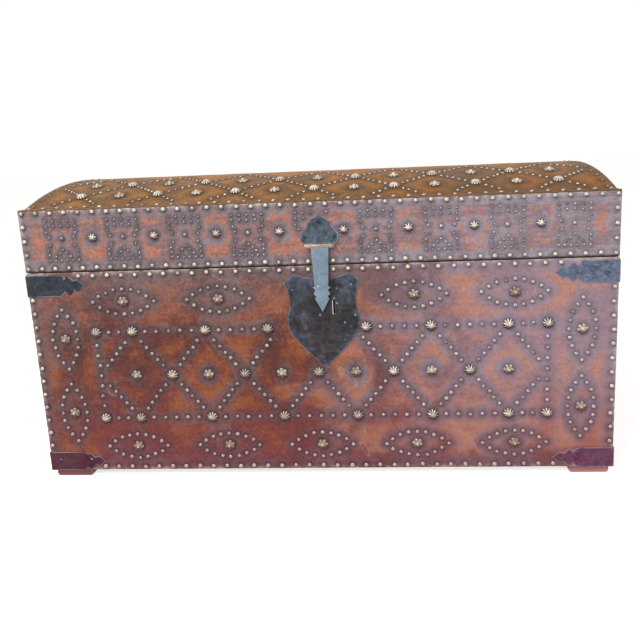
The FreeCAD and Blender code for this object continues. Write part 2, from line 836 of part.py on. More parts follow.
# Drop handles: a pointed plate with two lugs on each end, and a bail that swings in them
def handles():
    out = "Sizes.handle_axis_out"
    bar = "Sizes.bail_radius"
    lug = "Sizes.handle_lug_length"
    for hand, side in (("left", LEFT), ("right", RIGHT)):
        at = (f"{side} * Layout.half_width", "0", "Layout.handle_z")
        plate = body_at(f"{hand}_handle_plate", *at)
        half = "Sizes.handle_plate_half"
        rise = "Sizes.handle_plate_rise"
        flat = f"({half} - Sizes.handle_plate_point)"
        outline = [
            (half, "0"),
            (flat, rise),
            (f"-{flat}", rise),
            (f"-{half}", "0"),
            (f"-{flat}", f"-{rise}"),
            (flat, f"-{rise}"),
        ]
        thick = "Sizes.handle_plate_thickness"
        padded(plate, f"{hand}_handle_outline", "YZ_Plane", [outline], thick, None, side < 0)
        bore = f"({bar} + Sizes.pin_clearance)"
        for name, place_y in (("near", "-Sizes.handle_lug_place"), ("far", "Sizes.handle_lug_place")):
            start = f"-({place_y}) - {lug} / 2"
            sketch_name = f"{hand}_lug_{name}"
            ring = "Sizes.handle_lug_radius"
            axis_x = f"{side} * {out}"
            tube(plate, sketch_name, "XZ_Plane", axis_x, "0", ring, bore, lug, start)
            web = f"{side} * ({out} - {bore})"
            root = [("0", f"-{ring}"), (web, f"-{ring} / 2"), (web, f"{ring} / 2"), ("0", ring)]
            padded(plate, f"{hand}_web_{name}", "XZ_Plane", [root], lug, start)
        node(plate, f"{hand}_handle_plate")
        bail = body_at(f"{hand}_handle_bail", *at)
        leg = "Sizes.bail_leg_place"
        end = "(Sizes.handle_lug_place + Sizes.handle_lug_length / 2)"
        bend = "Sizes.bail_shoulder_round"
        turn = "Sizes.bail_grip_round"
        drop = "Sizes.bail_drop"
        route = [
            (f"-{end}", "0"),
            (f"-{leg} - {bend}", "0", bend, 1),
            (f"-{leg}", f"-{bend}"),
            (f"-{leg}", f"-{drop} + {turn}", turn, -1),
            (f"-{leg} + {turn}", f"-{drop}"),
            (f"{leg} - {turn}", f"-{drop}", turn, -1),
            (leg, f"-{drop} + {turn}"),
            (leg, f"-{bend}", bend, 1),
            (f"{leg} + {bend}", "0"),
            (end, "0"),
        ]
        spine = sketch_on(bail, f"{hand}_bail_route", "YZ_Plane", f"{side} * {out}")
        draw(spine, route, closed=False)
        section = sketch_on(bail, f"{hand}_bail_section", "XZ_Plane", end)
        circle(section, f"{side} * {out}", "0", bar)
        doc.recompute()
        pipe = bail.newObject("PartDesign::AdditivePipe", f"{hand}_bail_bar")
        pipe.Profile = section
        pipe.Spine = (spine, [f"Edge{i + 1}" for i in range(len(route) - 1)])
        node(bail, f"{hand}_handle_bail")


def dome_arc(radius, y):
    return f"Layout.dome_centre + sqrt(({radius}) ^ 2 - ({y}) ^ 2)"


# Lid frame: front and back rails, arched ends between them, and staves over the ends
def lid_frame():
    board = "Sizes.board_thickness"
    tall = "Layout.rail_top - Layout.lid_bottom"
    width = "2 * Layout.wood_half_width"
    left_x = "-Layout.wood_half_width"
    bottom = "Layout.lid_bottom"
    near_y = "-Layout.wood_half_depth"
    node(box("lid_front_rail", width, board, tall, left_x, near_y, bottom), "lid_front_rail")
    far_y = "Layout.inner_half_depth"
    node(box("lid_back_rail", width, board, tall, left_x, far_y, bottom), "lid_back_rail")
    inner = "Layout.stave_inner_radius"
    half = "Layout.inner_half_depth"
    arch = [
        (half, bottom),
        (half, dome_arc(inner, half), inner, -1),
        (f"-{half}", dome_arc(inner, half)),
        (f"-{half}", bottom),
    ]
    for label, x in (("lid_left_end", left_x), ("lid_right_end", "Layout.inner_half_width")):
        end = body_at(label, x, "0", "0")
        padded(end, label + "_arch", "YZ_Plane", [arch], board)
        node(end, label)
    staves = []
    for i in range(STAVE_COUNT):
        corners = []
        for radius in ("Layout.stave_radius", inner):
            row = []
            for joint in (i, i + 1):
                turn = f"Layout.stave_angle * {2 * joint / STAVE_COUNT - 1:.5f}"
                if joint in (0, STAVE_COUNT):
                    y = half if joint else f"-{half}"
                    row.append((y, dome_arc(radius, half)))
                else:
                    row.append(
                        (f"{radius} * sin({turn})", f"Layout.dome_centre + {radius} * cos({turn})")
                    )
            corners.append(row)
        (outer_start, outer_end), (inner_start, inner_end) = corners
        profile = [
            (*outer_start, "Layout.stave_radius", 1),
            outer_end,
            (*inner_end, inner, -1),
            inner_start,
        ]
        stave = body_at(f"lid_stave_{i + 1}", left_x, "0", "0")
        padded(stave, f"lid_stave_profile_{i + 1}", "YZ_Plane", [profile], width)
        staves.append(stave)
    group("lid_staves", staves)


def lid_leather():
    skin = "Sizes.leather_thickness"
    tall = "Layout.rail_top - Layout.lid_bottom"
    bottom = "Layout.lid_bottom"
    width = "Sizes.chest_width"
    left_x = "-Layout.half_width"
    near_y = "-Layout.half_depth"
    node(box("lid_front_leather", width, skin, tall, left_x, near_y, bottom), "lid_front_leather")
    far_y = "Layout.wood_half_depth"
    node(box("lid_back_leather", width, skin, tall, left_x, far_y, bottom), "lid_back_leather")
    wood = "Layout.wood_half_depth"
    spring = "Layout.inner_half_depth"
    side = [
        (wood, bottom),
        (wood, "Layout.rail_top"),
        (spring, "Layout.rail_top", "Layout.stave_radius", -1),
        (f"-{spring}", "Layout.rail_top"),
        (f"-{wood}", "Layout.rail_top"),
        (f"-{wood}", bottom),
    ]
    ends = (("lid_left_end_leather", left_x), ("lid_right_end_leather", "Layout.wood_half_width"))
    for label, x in ends:
        end = body_at(label, x, "0", "0")
        padded(end, label + "_arch", "YZ_Plane", [side], skin)
        node(end, label)
    edge = "Layout.half_depth"
    foot = "Layout.dome_foot"
    cover = [
        (f"-{edge}", "Layout.rail_top"),
        (f"-{edge}", "Layout.lid_top"),
        (f"-{foot}", "Layout.lid_top", "Layout.dome_radius", 1),
        (foot, "Layout.lid_top"),
        (edge, "Layout.lid_top"),
        (edge, "Layout.rail_top"),
        (spring, "Layout.rail_top", "Layout.stave_radius", -1),
        (f"-{spring}", "Layout.rail_top"),
    ]
    top = body_at("lid_top_leather", left_x, "0", "0")
    padded(top, "lid_top_cover", "YZ_Plane", [cover], width)
    node(top, "lid_top_leather")


# A nail or stud: a low dome on a pointed shank, standing on +Z with its head's rim at zero
def nail(width, roundness):
    rim = width / 2
    rise = width * roundness
    shank = size("shank_radius")
    ball = (rim**2 + rise**2) / (2 * rise)
    half_way = rim / 2
    crown = rise - ball + math.sqrt(ball**2 - half_way**2)
    top = FreeCAD.Vector(0, 0, rise)
    edge = FreeCAD.Vector(rim, 0, 0)
    neck = FreeCAD.Vector(shank, 0, 0)
    point = FreeCAD.Vector(0, 0, -size("shank_length"))
    curve = Part.Arc(top, FreeCAD.Vector(half_way, 0, crown), edge)
    wire = Part.Wire(
        [
            curve.toShape(),
            Part.makeLine(edge, neck),
            Part.makeLine(neck, point),
            Part.makeLine(point, top),
        ]
    )
    return Part.Face(wire).revolve(FreeCAD.Vector(), FreeCAD.Vector(0, 0, 1), 360)


def nail_group(label, drives):
    solids = []
    for solid, base, outward in drives:
        copy = solid.copy()
        turn = FreeCAD.Rotation(FreeCAD.Vector(0, 0, 1), outward)
        copy.Placement = FreeCAD.Placement(base, turn)
        solids.append(copy)
    piece = doc.addObject("Part::Feature", label)
    piece.Shape = Part.makeCompound(solids)
    node(piece, label)


# Places on a face: each takes distances along the face and gives a point and the way out
def on_front(x, z):
    return FreeCAD.Vector(x, -level("half_depth"), z), FreeCAD.Vector(0, -1, 0)


def on_back(x, z):
    return FreeCAD.Vector(x, level("half_depth"), z), FreeCAD.Vector(0, 1, 0)


def on_end(side):
    def place_on(y, z):
        return FreeCAD.Vector(side * level("half_width"), y, z), FreeCAD.Vector(side, 0, 0)

    return place_on


def on_dome(x, along):
    turn = along / level("dome_radius") - math.asin(level("dome_foot") / level("dome_radius"))
    outward = FreeCAD.Vector(0, math.sin(turn), math.cos(turn))
    centre = FreeCAD.Vector(x, 0, level("dome_centre"))
    return centre + outward * level("dome_radius"), outward


def on_ledge(x, y):
    return FreeCAD.Vector(x, y, level("lid_top")), FreeCAD.Vector(0, 0, 1)


def drive(solid, face, spots):
    return [(solid, *face(u, v)) for u, v in spots]


# Evenly spaced spots from a to b, both given as pairs, keeping `inset` clear at both ends
def row(a, b, spacing, inset=0.0):
    length = math.dist(a, b)
    steps = max(1, round((length - 2 * inset) / spacing))
    shares = [(inset + (length - 2 * inset) * i / steps) / length for i in range(steps + 1)]
    return [(a[0] + (b[0] - a[0]) * t, a[1] + (b[1] - a[1]) * t) for t in shares]


# Border just inside a rectangle, with no spot twice at its corners
def border(low, high, spacing):
    corners = [(low[0], low[1]), (high[0], low[1]), (high[0], high[1]), (low[0], high[1])]
    spots = []
    for i in range(4):
        spots += row(corners[i], corners[(i + 1) % 4], spacing)[:-1]
    return spots


# Pointed oval of two arcs
def eye(centre, length, height):
    radius = (length**2 + height**2) / (4 * height)
    reach = math.asin(length / 2 / radius)
    spots = []
    for i in range(EYE_STEPS + 1):
        turn = reach * (2 * i / EYE_STEPS - 1)
        u = radius * math.sin(turn)
        v = radius * math.cos(turn) - radius + height / 2
        spots.append((centre[0] + u, centre[1] + v))
        if 0 < i < EYE_STEPS:
            spots.append((centre[0] + u, centre[1] - v))
    return spots


def upright(spots, centre):
    return [(centre[0] + v - centre[1], centre[1] + u - centre[0]) for u, v in spots]


# Border row of the front at height z, broken where the hasp's strap hangs
def row_beside_strap(reach, z):
    middle = size("lock_offset")
    gap = size("strap_top_half") + size("border_nail_width") * 0.85
    spacing = size("border_spacing")
    return row((-reach, z), (middle - gap, z), spacing) + row((middle + gap, z), (reach, z), spacing)


# Studs and nails of the front: border, rows of eyes, and a framed diamond lattice
def front_studding():
    bottom = level("body_bottom")
    top = level("body_top")
    margin = size("border_margin")
    edge = level("half_width") - margin
    tip = level("half_width") - size("plate_length") + size("plate_barb") * 3
    low_tip = tip - size("plate_barb") * 2
    spacing = size("border_spacing")
    rim = row((-low_tip, bottom + margin), (low_tip, bottom + margin), spacing)
    rim += row_beside_strap(tip, top - margin)
    low = bottom + size("lower_plate_height") + margin * 2
    high = top - size("upper_plate_drop") - size("upper_plate_height") / 2 - margin
    for side in (LEFT, RIGHT):
        rim += row((side * edge, low), (side * edge, high), spacing)

    eyes = []
    flowers = []
    pitch = (level("half_width") - size("eye_margin")) / EYE_COLUMNS
    for column in range(-EYE_COLUMNS, EYE_COLUMNS + 1):
        for z in (bottom + size("eye_low"), top - size("eye_high_drop")):
            if column == 0 and z > (bottom + top) / 2:
                continue
            centre = (column * pitch, z)
            eyes += eye(centre, size("eye_length"), size("eye_height"))
            flowers.append(centre)

    lattice_low = bottom + size("lattice_low")
    lattice_high = top - size("lattice_high_drop")
    middle = (lattice_low + lattice_high) / 2
    for side in (LEFT, RIGHT):
        for lift in (-1, 1):
            centre = (
                side * (level("half_width") - size("side_eye_margin")),
                middle + lift * size("side_eye_gap") / 2,
            )
            oval = eye(centre, size("eye_length"), size("eye_height"))
            eyes += upright(oval, centre)
            flowers.append(centre)

    reach = level("half_width") - size("lattice_margin")
    bay = reach / LATTICE_BAYS
    inset = size("lattice_inset")
    gap = size("lattice_spacing")
    apexes = [bay * (i + 0.5) for i in range(-LATTICE_BAYS, LATTICE_BAYS)]
    beside_shield = size("shield_ear_half") + size("shield_stud_gap")
    top_studs = [x if abs(x) > bay else math.copysign(beside_shield, x) for x in apexes]
    stars = [(x, lattice_high) for x in [-reach, *top_studs, reach]]
    stars += [(x, lattice_low) for x in [-reach, *apexes, reach]]
    stars += [(bay * i, middle) for i in range(1 - LATTICE_BAYS, LATTICE_BAYS)]
    flowers += [(x, middle) for x in apexes]
    frame = []
    for studs, z in ((top_studs, lattice_high), (apexes, lattice_low)):
        stops = [-reach, *studs, reach]
        for a, b in zip(stops, stops[1:]):
            if z == lattice_high and a < 0 < b:
                continue
            frame += row((a, z), (b, z), gap, inset)
    for side in (LEFT, RIGHT):
        frame += row((side * reach, lattice_low), (side * reach, lattice_high), gap, inset)
    for x in apexes:
        for z in (lattice_low, lattice_high):
            for side in (LEFT, RIGHT):
                crossing = x + side * bay / 2
                if z == lattice_high and abs(crossing) < bay / 2:
                    continue
                frame += row((x, z), (crossing, middle), size("leg_spacing"), inset)

    big = nail(size("border_nail_width"), size("nail_roundness"))
    small = nail(size("pattern_nail_width"), size("nail_roundness"))
    stud = nail(size("star_width"), size("stud_roundness"))
    nail_group("front_nails", drive(big, on_front, rim) + drive(small, on_front, eyes + frame))
    nail_group("front_star_studs", drive(stud, on_front, stars))
    nail_group("front_flower_studs", drive(stud, on_front, flowers))


# One small gate-like figure of fine nails: a double row above, waisted sides, a triangle below
def gate(centre):
    half = size("motif_width") / 2
    tall = size("motif_height") / 2
    spots = []
    for lift in (1.0, 0.74):
        spots += row((-half, tall * lift), (half, tall * lift), half / 2)
    for lift, share in ((0.44, 1.0), (0.18, 0.84), (-0.24, 0.84), (-0.5, 1.0), (-0.74, 1.0)):
        spots += [(-half * share, tall * lift), (half * share, tall * lift)]
    spots += row((-half, -tall), (half, -tall), half * 0.4)
    spots += [(0, -tall * 0.46)]
    for share, lift in ((0.26, 0.62), (0.5, 0.8)):
        spots += [(-half * share, -tall * lift), (half * share, -tall * lift)]
    return [(centre[0] + u, centre[1] + v) for u, v in spots]


def clear_of_hasp(spots):
    axis = level("hasp_axis_z")
    shoulder = size("hasp_plate_shoulder")
    rise = size("hasp_plate_height")
    room = size("border_nail_width")
    kept = []
    for x, z in spots:
        above = max(0.0, (z - axis - shoulder) / (rise - shoulder))
        half = size("hasp_plate_half") * max(0.0, 1 - above) + room
        covered = z < axis + rise + room and abs(x - size("lock_offset")) < half
        if not covered:
            kept.append((x, z))
    return kept


def lid_front_studding():
    margin = size("border_margin")
    edge = level("half_width") - margin
    low = level("lid_bottom") + margin
    high = level("lid_top") - margin
    spacing = size("border_spacing")
    rim = row((-edge, high), (edge, high), spacing) + row_beside_strap(edge, low)
    for side in (LEFT, RIGHT):
        rim += row((side * edge, low), (side * edge, high), spacing)[1:-1]
    middle = (level("lid_bottom") + level("lid_top")) / 2
    reach = level("half_width") - size("motif_margin")
    pitch = 2 * reach / (MOTIF_COUNT - 1)
    fine = []
    stars = []
    hearts = []
    for i in range(MOTIF_COUNT):
        x = i * pitch - reach
        fine += gate((x, middle))
        hearts.append((x, middle + size("motif_raise")))
        if i:
            stars.append((x - pitch / 2, middle + size("motif_raise")))
    big = nail(size("border_nail_width"), size("nail_roundness"))
    small = nail(size("pattern_nail_width"), size("nail_roundness"))
    tiny = nail(size("motif_nail_width"), size("nail_roundness"))
    stud = nail(size("small_star_width"), size("stud_roundness"))
    drives = drive(big, on_front, rim)
    drives += drive(small, on_front, clear_of_hasp(hearts))
    drives += drive(tiny, on_front, clear_of_hasp(fine))
    nail_group("lid_front_nails", drives)
    nail_group("lid_front_star_studs", drive(stud, on_front, stars))


# Studs and nails of the dome: ledge rows and, on both sides of a plain ridge, a diamond lattice
# with a melon stud on each crossing and a flower stud in each diamond
def dome_studding():
    ledge = level("half_depth") - size("side_margin")
    edge = level("half_width") - size("dome_end_margin")
    spacing = size("border_spacing")
    arc = 2 * level("dome_radius") * math.asin(level("dome_foot") / level("dome_radius"))
    reach = level("half_width") - size("dome_stud_margin")
    pitch = 2 * reach / (DOME_COLUMNS - 1)
    step = size("dome_row_step")
    room = size("border_nail_width")
    studs = []
    flowers = []
    fine = []
    for i in range(-1, DOME_ROWS + 1):
        along = size("dome_first_row") + i * step
        shift = 0 if i % 2 == 0 else pitch / 2
        columns = [shift - reach + pitch * k for k in range(-1, DOME_COLUMNS + 1)]
        crossings = [(x, along) for x in columns if abs(x) < edge - pitch / 4]
        if i == DOME_ROWS:
            fine += crossings
            continue
        if i >= 0:
            studs += crossings
            between = [x + pitch / 2 for x in columns]
            flowers += [(x, along) for x in between if abs(x) < edge - pitch / 4]
        for x in columns:
            for side in (LEFT, RIGHT):
                beyond = (x + side * pitch / 2, along + step)
                fine += row((x, along), beyond, size("leg_spacing"), size("dome_inset"))
    fine = [(x, s) for x, s in fine if abs(x) < edge - room and s > room]

    def both_slopes(spots):
        return spots + [(x, arc - s) for x, s in spots]

    ends = []
    for side in (LEFT, RIGHT):
        ends += row((side * edge, room), (side * edge, arc - room), spacing)
    rims = row((-edge, -ledge), (edge, -ledge), spacing) + row((-edge, ledge), (edge, ledge), spacing)
    big = nail(size("border_nail_width"), size("nail_roundness"))
    small = nail(size("dome_nail_width"), size("nail_roundness"))
    tiny = nail(size("motif_nail_width"), size("nail_roundness"))
    stud = nail(size("melon_width"), size("stud_roundness"))
    drives = drive(big, on_ledge, rims) + drive(tiny, on_dome, ends)
    drives += drive(small, on_dome, both_slopes(fine))
    nail_group("lid_top_nails", drives)
    nail_group("lid_top_melon_studs", drive(stud, on_dome, both_slopes(studs)))
    nail_group("lid_top_flower_studs", drive(stud, on_dome, both_slopes(flowers)))


# Ends and back: border nails, and two upright eyes beside each handle
def side_studding():
    bottom = level("body_bottom")
    top = level("body_top")
    margin = size("side_margin")
    deep = level("half_depth") - margin
    wide = level("half_width") - margin
    spacing = size("border_spacing")
    plate_low = bottom + size("lower_plate_height") + margin
    plate_high = top - size("upper_plate_drop") - size("upper_plate_height") / 2 - margin
    big = nail(size("border_nail_width"), size("nail_roundness"))
    small = nail(size("pattern_nail_width"), size("nail_roundness"))
    stud = nail(size("star_width"), size("stud_roundness"))
    drives = []
    for side in (LEFT, RIGHT):
        rim = []
        tip = level("half_depth") - size("plate_length")
        for z in (bottom + margin, top - margin):
            rim += row((-tip, z), (tip, z), spacing)
        for y in (-deep, deep):
            rim += row((y, plate_low), (y, plate_high), spacing)
        drives += drive(big, on_end(side), rim)
        for lean in (-1, 1):
            centre = (lean * (deep - size("side_eye_margin")), level("handle_z"))
            oval = upright(eye(centre, size("eye_length"), size("eye_height")), centre)
            drives += drive(small, on_end(side), oval)
            drives += drive(stud, on_end(side), [centre])
    tip = level("half_width") - size("plate_length")
    hinge = size("hinge_spacing") / 2
    rim = []
    for z in (bottom + margin, top - margin):
        rim += row((-tip, z), (tip, z), spacing)
    for x in (-wide, wide):
        rim += row((x, plate_low), (x, plate_high), spacing)
    room = size("hinge_half") + size("border_nail_width")
    rim = [s for s in rim if abs(abs(s[0]) - hinge) > room]
    drives += drive(big, on_back, rim)
    nail_group("body_side_nails", drives)

    drives = []
    low = level("lid_bottom") + margin
    high = level("lid_top") - margin
    for side in (LEFT, RIGHT):
        rim = row((-deep, low), (deep, low), spacing)
        for y in (-deep, deep):
            rim += row((y, low), (y, high), spacing)[1:]
        crown = level("stave_radius") - margin
        reach = math.asin((level("inner_half_depth") - margin) / crown)
        steps = round(2 * reach * crown / spacing)
        for i in range(steps + 1):
            turn = reach * (2 * i / steps - 1)
            rim.append((crown * math.sin(turn), level("dome_centre") + crown * math.cos(turn)))
        drives += drive(big, on_end(side), rim)
    rim = border((-wide, low), (wide, high), spacing)
    rim = [s for s in rim if abs(abs(s[0]) - hinge) > room]
    drives += drive(big, on_back, rim)
    nail_group("lid_side_nails", drives)


def raised(face, thickness, spots):
    spread = []
    for u, v in spots:
        base, outward = face(u, v)
        spread.append((base + outward * thickness, outward))
    return spread


# Iron nails through the lock plate, corner plates, hinge leaves, hasp plate and handle plates
def iron_nailing():
    iron = nail(size("iron_nail_width"), size("nail_roundness") * 0.7)
    inset = size("iron_nail_width")
    lock_x = size("lock_offset")
    crest = level("body_top") - size("shield_drop")
    ear = size("shield_ear_half") - 1.6 * inset
    hip = size("shield_hip_half") - inset
    shield_spots = [(lock_x, crest - size("shield_height") + 2.2 * inset)]
    for side in (LEFT, RIGHT):
        shield_spots.append((lock_x + side * ear, crest - size("shield_ear_drop")))
        shield_spots.append((lock_x + side * hip, crest - size("shield_hip_drop") + 2 * inset))
    spots = raised(on_front, size("shield_thickness"), shield_spots)

    heights = (
        level("body_top") - size("upper_plate_drop"),
        level("body_bottom") + size("lower_plate_height") / 2,
    )
    reaches = (2.2 * inset, size("plate_shoulder") + inset / 2)
    for z in heights:
        for reach in reaches:
            x = level("half_width") - reach
            y = level("half_depth") - reach
            thick = size("plate_thickness")
            spots += raised(on_front, thick, [(-x, z), (x, z)])
            spots += raised(on_back, thick, [(-x, z), (x, z)])
            for side in (LEFT, RIGHT):
                spots += raised(on_end(side), thick, [(-y, z), (y, z)])

    thick = size("hinge_leaf_thickness")
    axis = level("hinge_axis_z")
    leaf = size("hinge_body_leaf")
    hinge = size("hinge_spacing") / 2
    for x in (-hinge, hinge):
        drops = [leaf * share for share in (0.2, 0.5, 0.8)]
        spots += raised(on_back, thick, [(x, axis - drop) for drop in drops])

    thick = size("handle_plate_thickness")
    reach = size("handle_plate_half") - size("handle_plate_point")
    rise = size("handle_plate_rise") - inset
    for side in (LEFT, RIGHT):
        corners = [(y, level("handle_z") + z) for y in (-reach, reach) for z in (-rise, rise)]
        spots += raised(on_end(side), thick, corners)
    nail_group("body_iron_nails", [(iron, *spot) for spot in spots])

    leaf = size("hinge_lid_leaf")
    spots = []
    for x in (-hinge, hinge):
        rises = [leaf * share for share in (0.3, 0.7)]
        spots += raised(on_back, size("hinge_leaf_thickness"), [(x, axis + up) for up in rises])
    level_z = level("hasp_axis_z") + (size("hasp_plate_skirt") + size("hasp_plate_shoulder")) / 2
    half = size("hasp_plate_half") - inset
    tip_z = level("hasp_axis_z") + size("hasp_plate_height") - 2 * inset
    plate_spots = [(lock_x - half, level_z), (lock_x + half, level_z), (lock_x, tip_z)]
    spots += raised(on_front, size("hasp_plate_thickness"), plate_spots)
    nail_group("lid_iron_nails", [(iron, *spot) for spot in spots])


carcass()
body_leather()
feet()
corner_plates()
shield()
lock()
hinges()
handles()
lid_frame()
lid_leather()
hasp_plate()
hasp_strap()
front_studding()
lid_front_studding()
dome_studding()
side_studding()
iron_nailing()

doc.recompute()
failed = [o.Name for o in doc.Objects if "Invalid" in o.State or "Error" in o.State]
if failed:
    raise RuntimeError(f"objects failed to build: {failed}")
for piece in nodes:
    if piece.Shape.isNull() or not piece.Shape.isValid():
        raise RuntimeError(f"{piece.Label} has no valid shape")

os.makedirs("parts", exist_ok=True)
for piece in nodes:
    piece.Shape.exportStep(f"parts/{piece.Label}.step")
    print(piece.Label, len(piece.Shape.Solids), round(piece.Shape.Volume))
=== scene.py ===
import json
import math
import bmesh
import bpy
import numpy as np
from mathutils import Matrix, Vector, kdtree, noise


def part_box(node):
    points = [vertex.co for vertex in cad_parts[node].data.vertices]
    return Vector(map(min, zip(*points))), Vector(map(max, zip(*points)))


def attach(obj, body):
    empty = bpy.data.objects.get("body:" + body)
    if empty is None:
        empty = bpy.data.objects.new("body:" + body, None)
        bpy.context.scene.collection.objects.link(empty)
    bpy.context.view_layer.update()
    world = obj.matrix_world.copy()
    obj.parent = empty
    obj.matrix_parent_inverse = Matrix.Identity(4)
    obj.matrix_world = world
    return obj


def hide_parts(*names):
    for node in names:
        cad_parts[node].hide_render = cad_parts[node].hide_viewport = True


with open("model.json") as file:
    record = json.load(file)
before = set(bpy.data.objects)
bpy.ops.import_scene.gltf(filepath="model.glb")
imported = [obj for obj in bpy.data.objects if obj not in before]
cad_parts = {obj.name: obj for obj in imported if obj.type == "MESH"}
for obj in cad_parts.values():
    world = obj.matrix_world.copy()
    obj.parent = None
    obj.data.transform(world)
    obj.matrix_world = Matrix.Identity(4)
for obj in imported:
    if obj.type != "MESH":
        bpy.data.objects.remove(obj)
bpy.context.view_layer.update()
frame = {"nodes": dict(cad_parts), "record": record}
rng = np.random.default_rng(11)
print("frame loaded:", len(frame["nodes"]), "nodes")


# where the chest's faces lie, read from the frame
leatherDepth = 0.0025
bodyLow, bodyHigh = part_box("front_leather")
lidLow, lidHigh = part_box("lid_front_leather")
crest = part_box("lid_top_leather")[1].z
halfWidth = bodyHigh.x
halfDepth = -bodyLow.y
railTop = lidHigh.z
ledge = railTop + leatherDepth
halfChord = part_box("lid_staves")[1].y
archRise = crest - leatherDepth - railTop
staveRadius = (halfChord**2 + archRise**2) / (2 * archRise)
domeCentre = railTop + archRise - staveRadius
domeRadius = staveRadius + leatherDepth
domeFoot = math.sqrt(domeRadius**2 - (ledge - domeCentre) ** 2)
domeHalf = math.asin(domeFoot / domeRadius) * domeRadius  # along the arc, crest to foot
topHalf = domeHalf + halfDepth - domeFoot
lockX = sum(c.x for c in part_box("hasp_staple")) / 2
haspAxis = sum(c.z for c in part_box("hasp_pin")) / 2
shieldLow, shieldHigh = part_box("lock_plate")
shieldMiddle = (shieldLow + shieldHigh) / 2
shieldHalf = (shieldHigh - shieldLow) / 2
pinLow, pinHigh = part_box("key_pin")
keyX = (pinLow.x + pinHigh.x) / 2
keyZ = (pinLow.z + pinHigh.z) / 2


def tone(red, green, blue):
    def linear(c):
        c /= 255
        return c / 12.92 if c <= 0.04045 else ((c + 0.055) / 1.055) ** 2.4

    return (linear(red), linear(green), linear(blue), 1.0)


# a tone and its fellow at the right end of the chest, which carries a painted sheen; alike where only one is
# given
def leftRight(look, key):
    return look[key], look.get(key + "Right", look[key])


# a finish is one material; each call adds a node and gives back its output
class Finish:
    def __init__(self, name):
        self.material = bpy.data.materials.new(name)
        self.material.use_nodes = True
        self.tree = self.material.node_tree
        self.shader = self.tree.nodes["Principled BSDF"]
        self.place = self.add("TexCoord").outputs["Object"]

    def add(self, kind, sockets=None, **settings):
        made = self.tree.nodes.new("ShaderNode" + kind)
        for key, setting in settings.items():
            setattr(made, key, setting)
        for key, fill in (sockets or {}).items():
            self.fill(made.inputs[key], fill)
        return made

    def fill(self, socket, fill):
        if isinstance(fill, bpy.types.NodeSocket):
            self.tree.links.new(fill, socket)
        else:
            socket.default_value = fill

    # noise, drawn out along the axes where counts to the metre are given for each
    def cloud(self, scale, turn=0.0, detail=4.0, rough=0.6, twist=0.0):
        place = self.place
        if isinstance(scale, (tuple, list)):
            place = self.add("Mapping", {"Vector": place, "Rotation": (0, turn, 0)}).outputs[0]
            place = self.add("Mapping", {"Vector": place, "Scale": scale}).outputs[0]
            scale = 1
        sockets = {"Vector": place, "Scale": scale, "Detail": detail, "Roughness": rough, "Distortion": twist}
        return self.add("TexNoise", sockets).outputs["Fac"]

    def cells(self, scale, feature="F1"):
        sockets = {"Vector": self.place, "Scale": scale}
        return self.add("TexVoronoi", sockets, feature=feature).outputs["Distance"]

    def part(self, axis):
        return self.add("SeparateXYZ", {"Vector": self.place}).outputs[axis]

    def mark(self, name):
        return self.add("Attribute", attribute_name=name).outputs["Fac"]

    def span(self, amount, low, high, toLow=0.0, toHigh=1.0):
        sockets = {"Value": amount, "From Min": low, "From Max": high, "To Min": toLow, "To Max": toHigh}
        return self.add("MapRange", sockets, interpolation_type="SMOOTHSTEP").outputs["Result"]

    def math(self, kind, a, b=0.0):
        return self.add("Math", {0: a, 1: b}, operation=kind).outputs[0]

    def times(self, a, b):
        return self.math("MULTIPLY", a, b)

    def most(self, *amounts):
        total = amounts[0]
        for amount in amounts[1:]:
            total = self.math("MAXIMUM", total, amount)
        return total

    # amounts added up by their shares, from a starting number
    def weigh(self, *pairs, start=0.0):
        total = start
        for amount, share in pairs:
            total = self.add("Math", {0: amount, 1: share, 2: total}, operation="MULTIPLY_ADD").outputs[0]
        return total

    def mix(self, share, a, b, blend="MIX"):
        return self.add("Mix", {0: share, 6: a, 7: b}, data_type="RGBA", blend_type=blend).outputs[2]

    def bump(self, height, depth, strength):
        return self.add("Bump", {"Height": height, "Distance": depth, "Strength": strength}).outputs["Normal"]

    def done(self, **sockets):
        names = {"colour": "Base Color", "rough": "Roughness", "metal": "Metallic", "normal": "Normal",
                 "gloss": "Specular IOR Level"}
        for key, fill in sockets.items():
            self.fill(self.shader.inputs[names[key]], fill)
        return self.material


# leather: mottled brown to orange, greyed round the nails and below the seam,
# paler and bluer to the right as a painted sheen, and redder below
bodyHide = {
    "dark": tone(80, 37, 32), "darkRight": tone(141, 116, 127),
    "warm": tone(138, 73, 38), "warmRight": tone(178, 122, 100), "hueSpan": (0.36, 0.68),
    "stain": tone(92, 73, 75), "stainRight": tone(132, 119, 134), "stainShare": 0.85, "edgeStain": 0.9,
    "low": tone(109, 47, 45), "lowRight": tone(154, 80, 56), "lowStain": tone(98, 60, 70), "lowShare": 0.8,
    "foot": tone(96, 46, 56), "footRise": 0.055, "footShare": 0.8,
    "upper": tone(108, 97, 100), "upperShare": 0.4,
    "worn": tone(196, 172, 160), "wornShare": 0.6,
    "dirt": tone(112, 88, 84), "dirtAndShadeShare": 0.55,
    "blotch": 8.0, "brush": 0.5, "gloss": 0.25,
}
lidHide = {
    "dark": tone(122, 96, 97), "darkRight": tone(134, 112, 118),
    "warm": tone(160, 101, 77), "warmRight": tone(174, 116, 100), "hueSpan": (0.38, 0.58),
    "stain": tone(108, 102, 109), "stainRight": tone(138, 132, 143), "stainShare": 0.92, "edgeStain": 0.0,
    "worn": tone(204, 186, 182), "wornShare": 0.6,
    "dirt": tone(104, 99, 108), "dirtAndShadeShare": 0.62,
    "blotch": 12.0, "brush": 2.9, "gloss": 0.25,
}
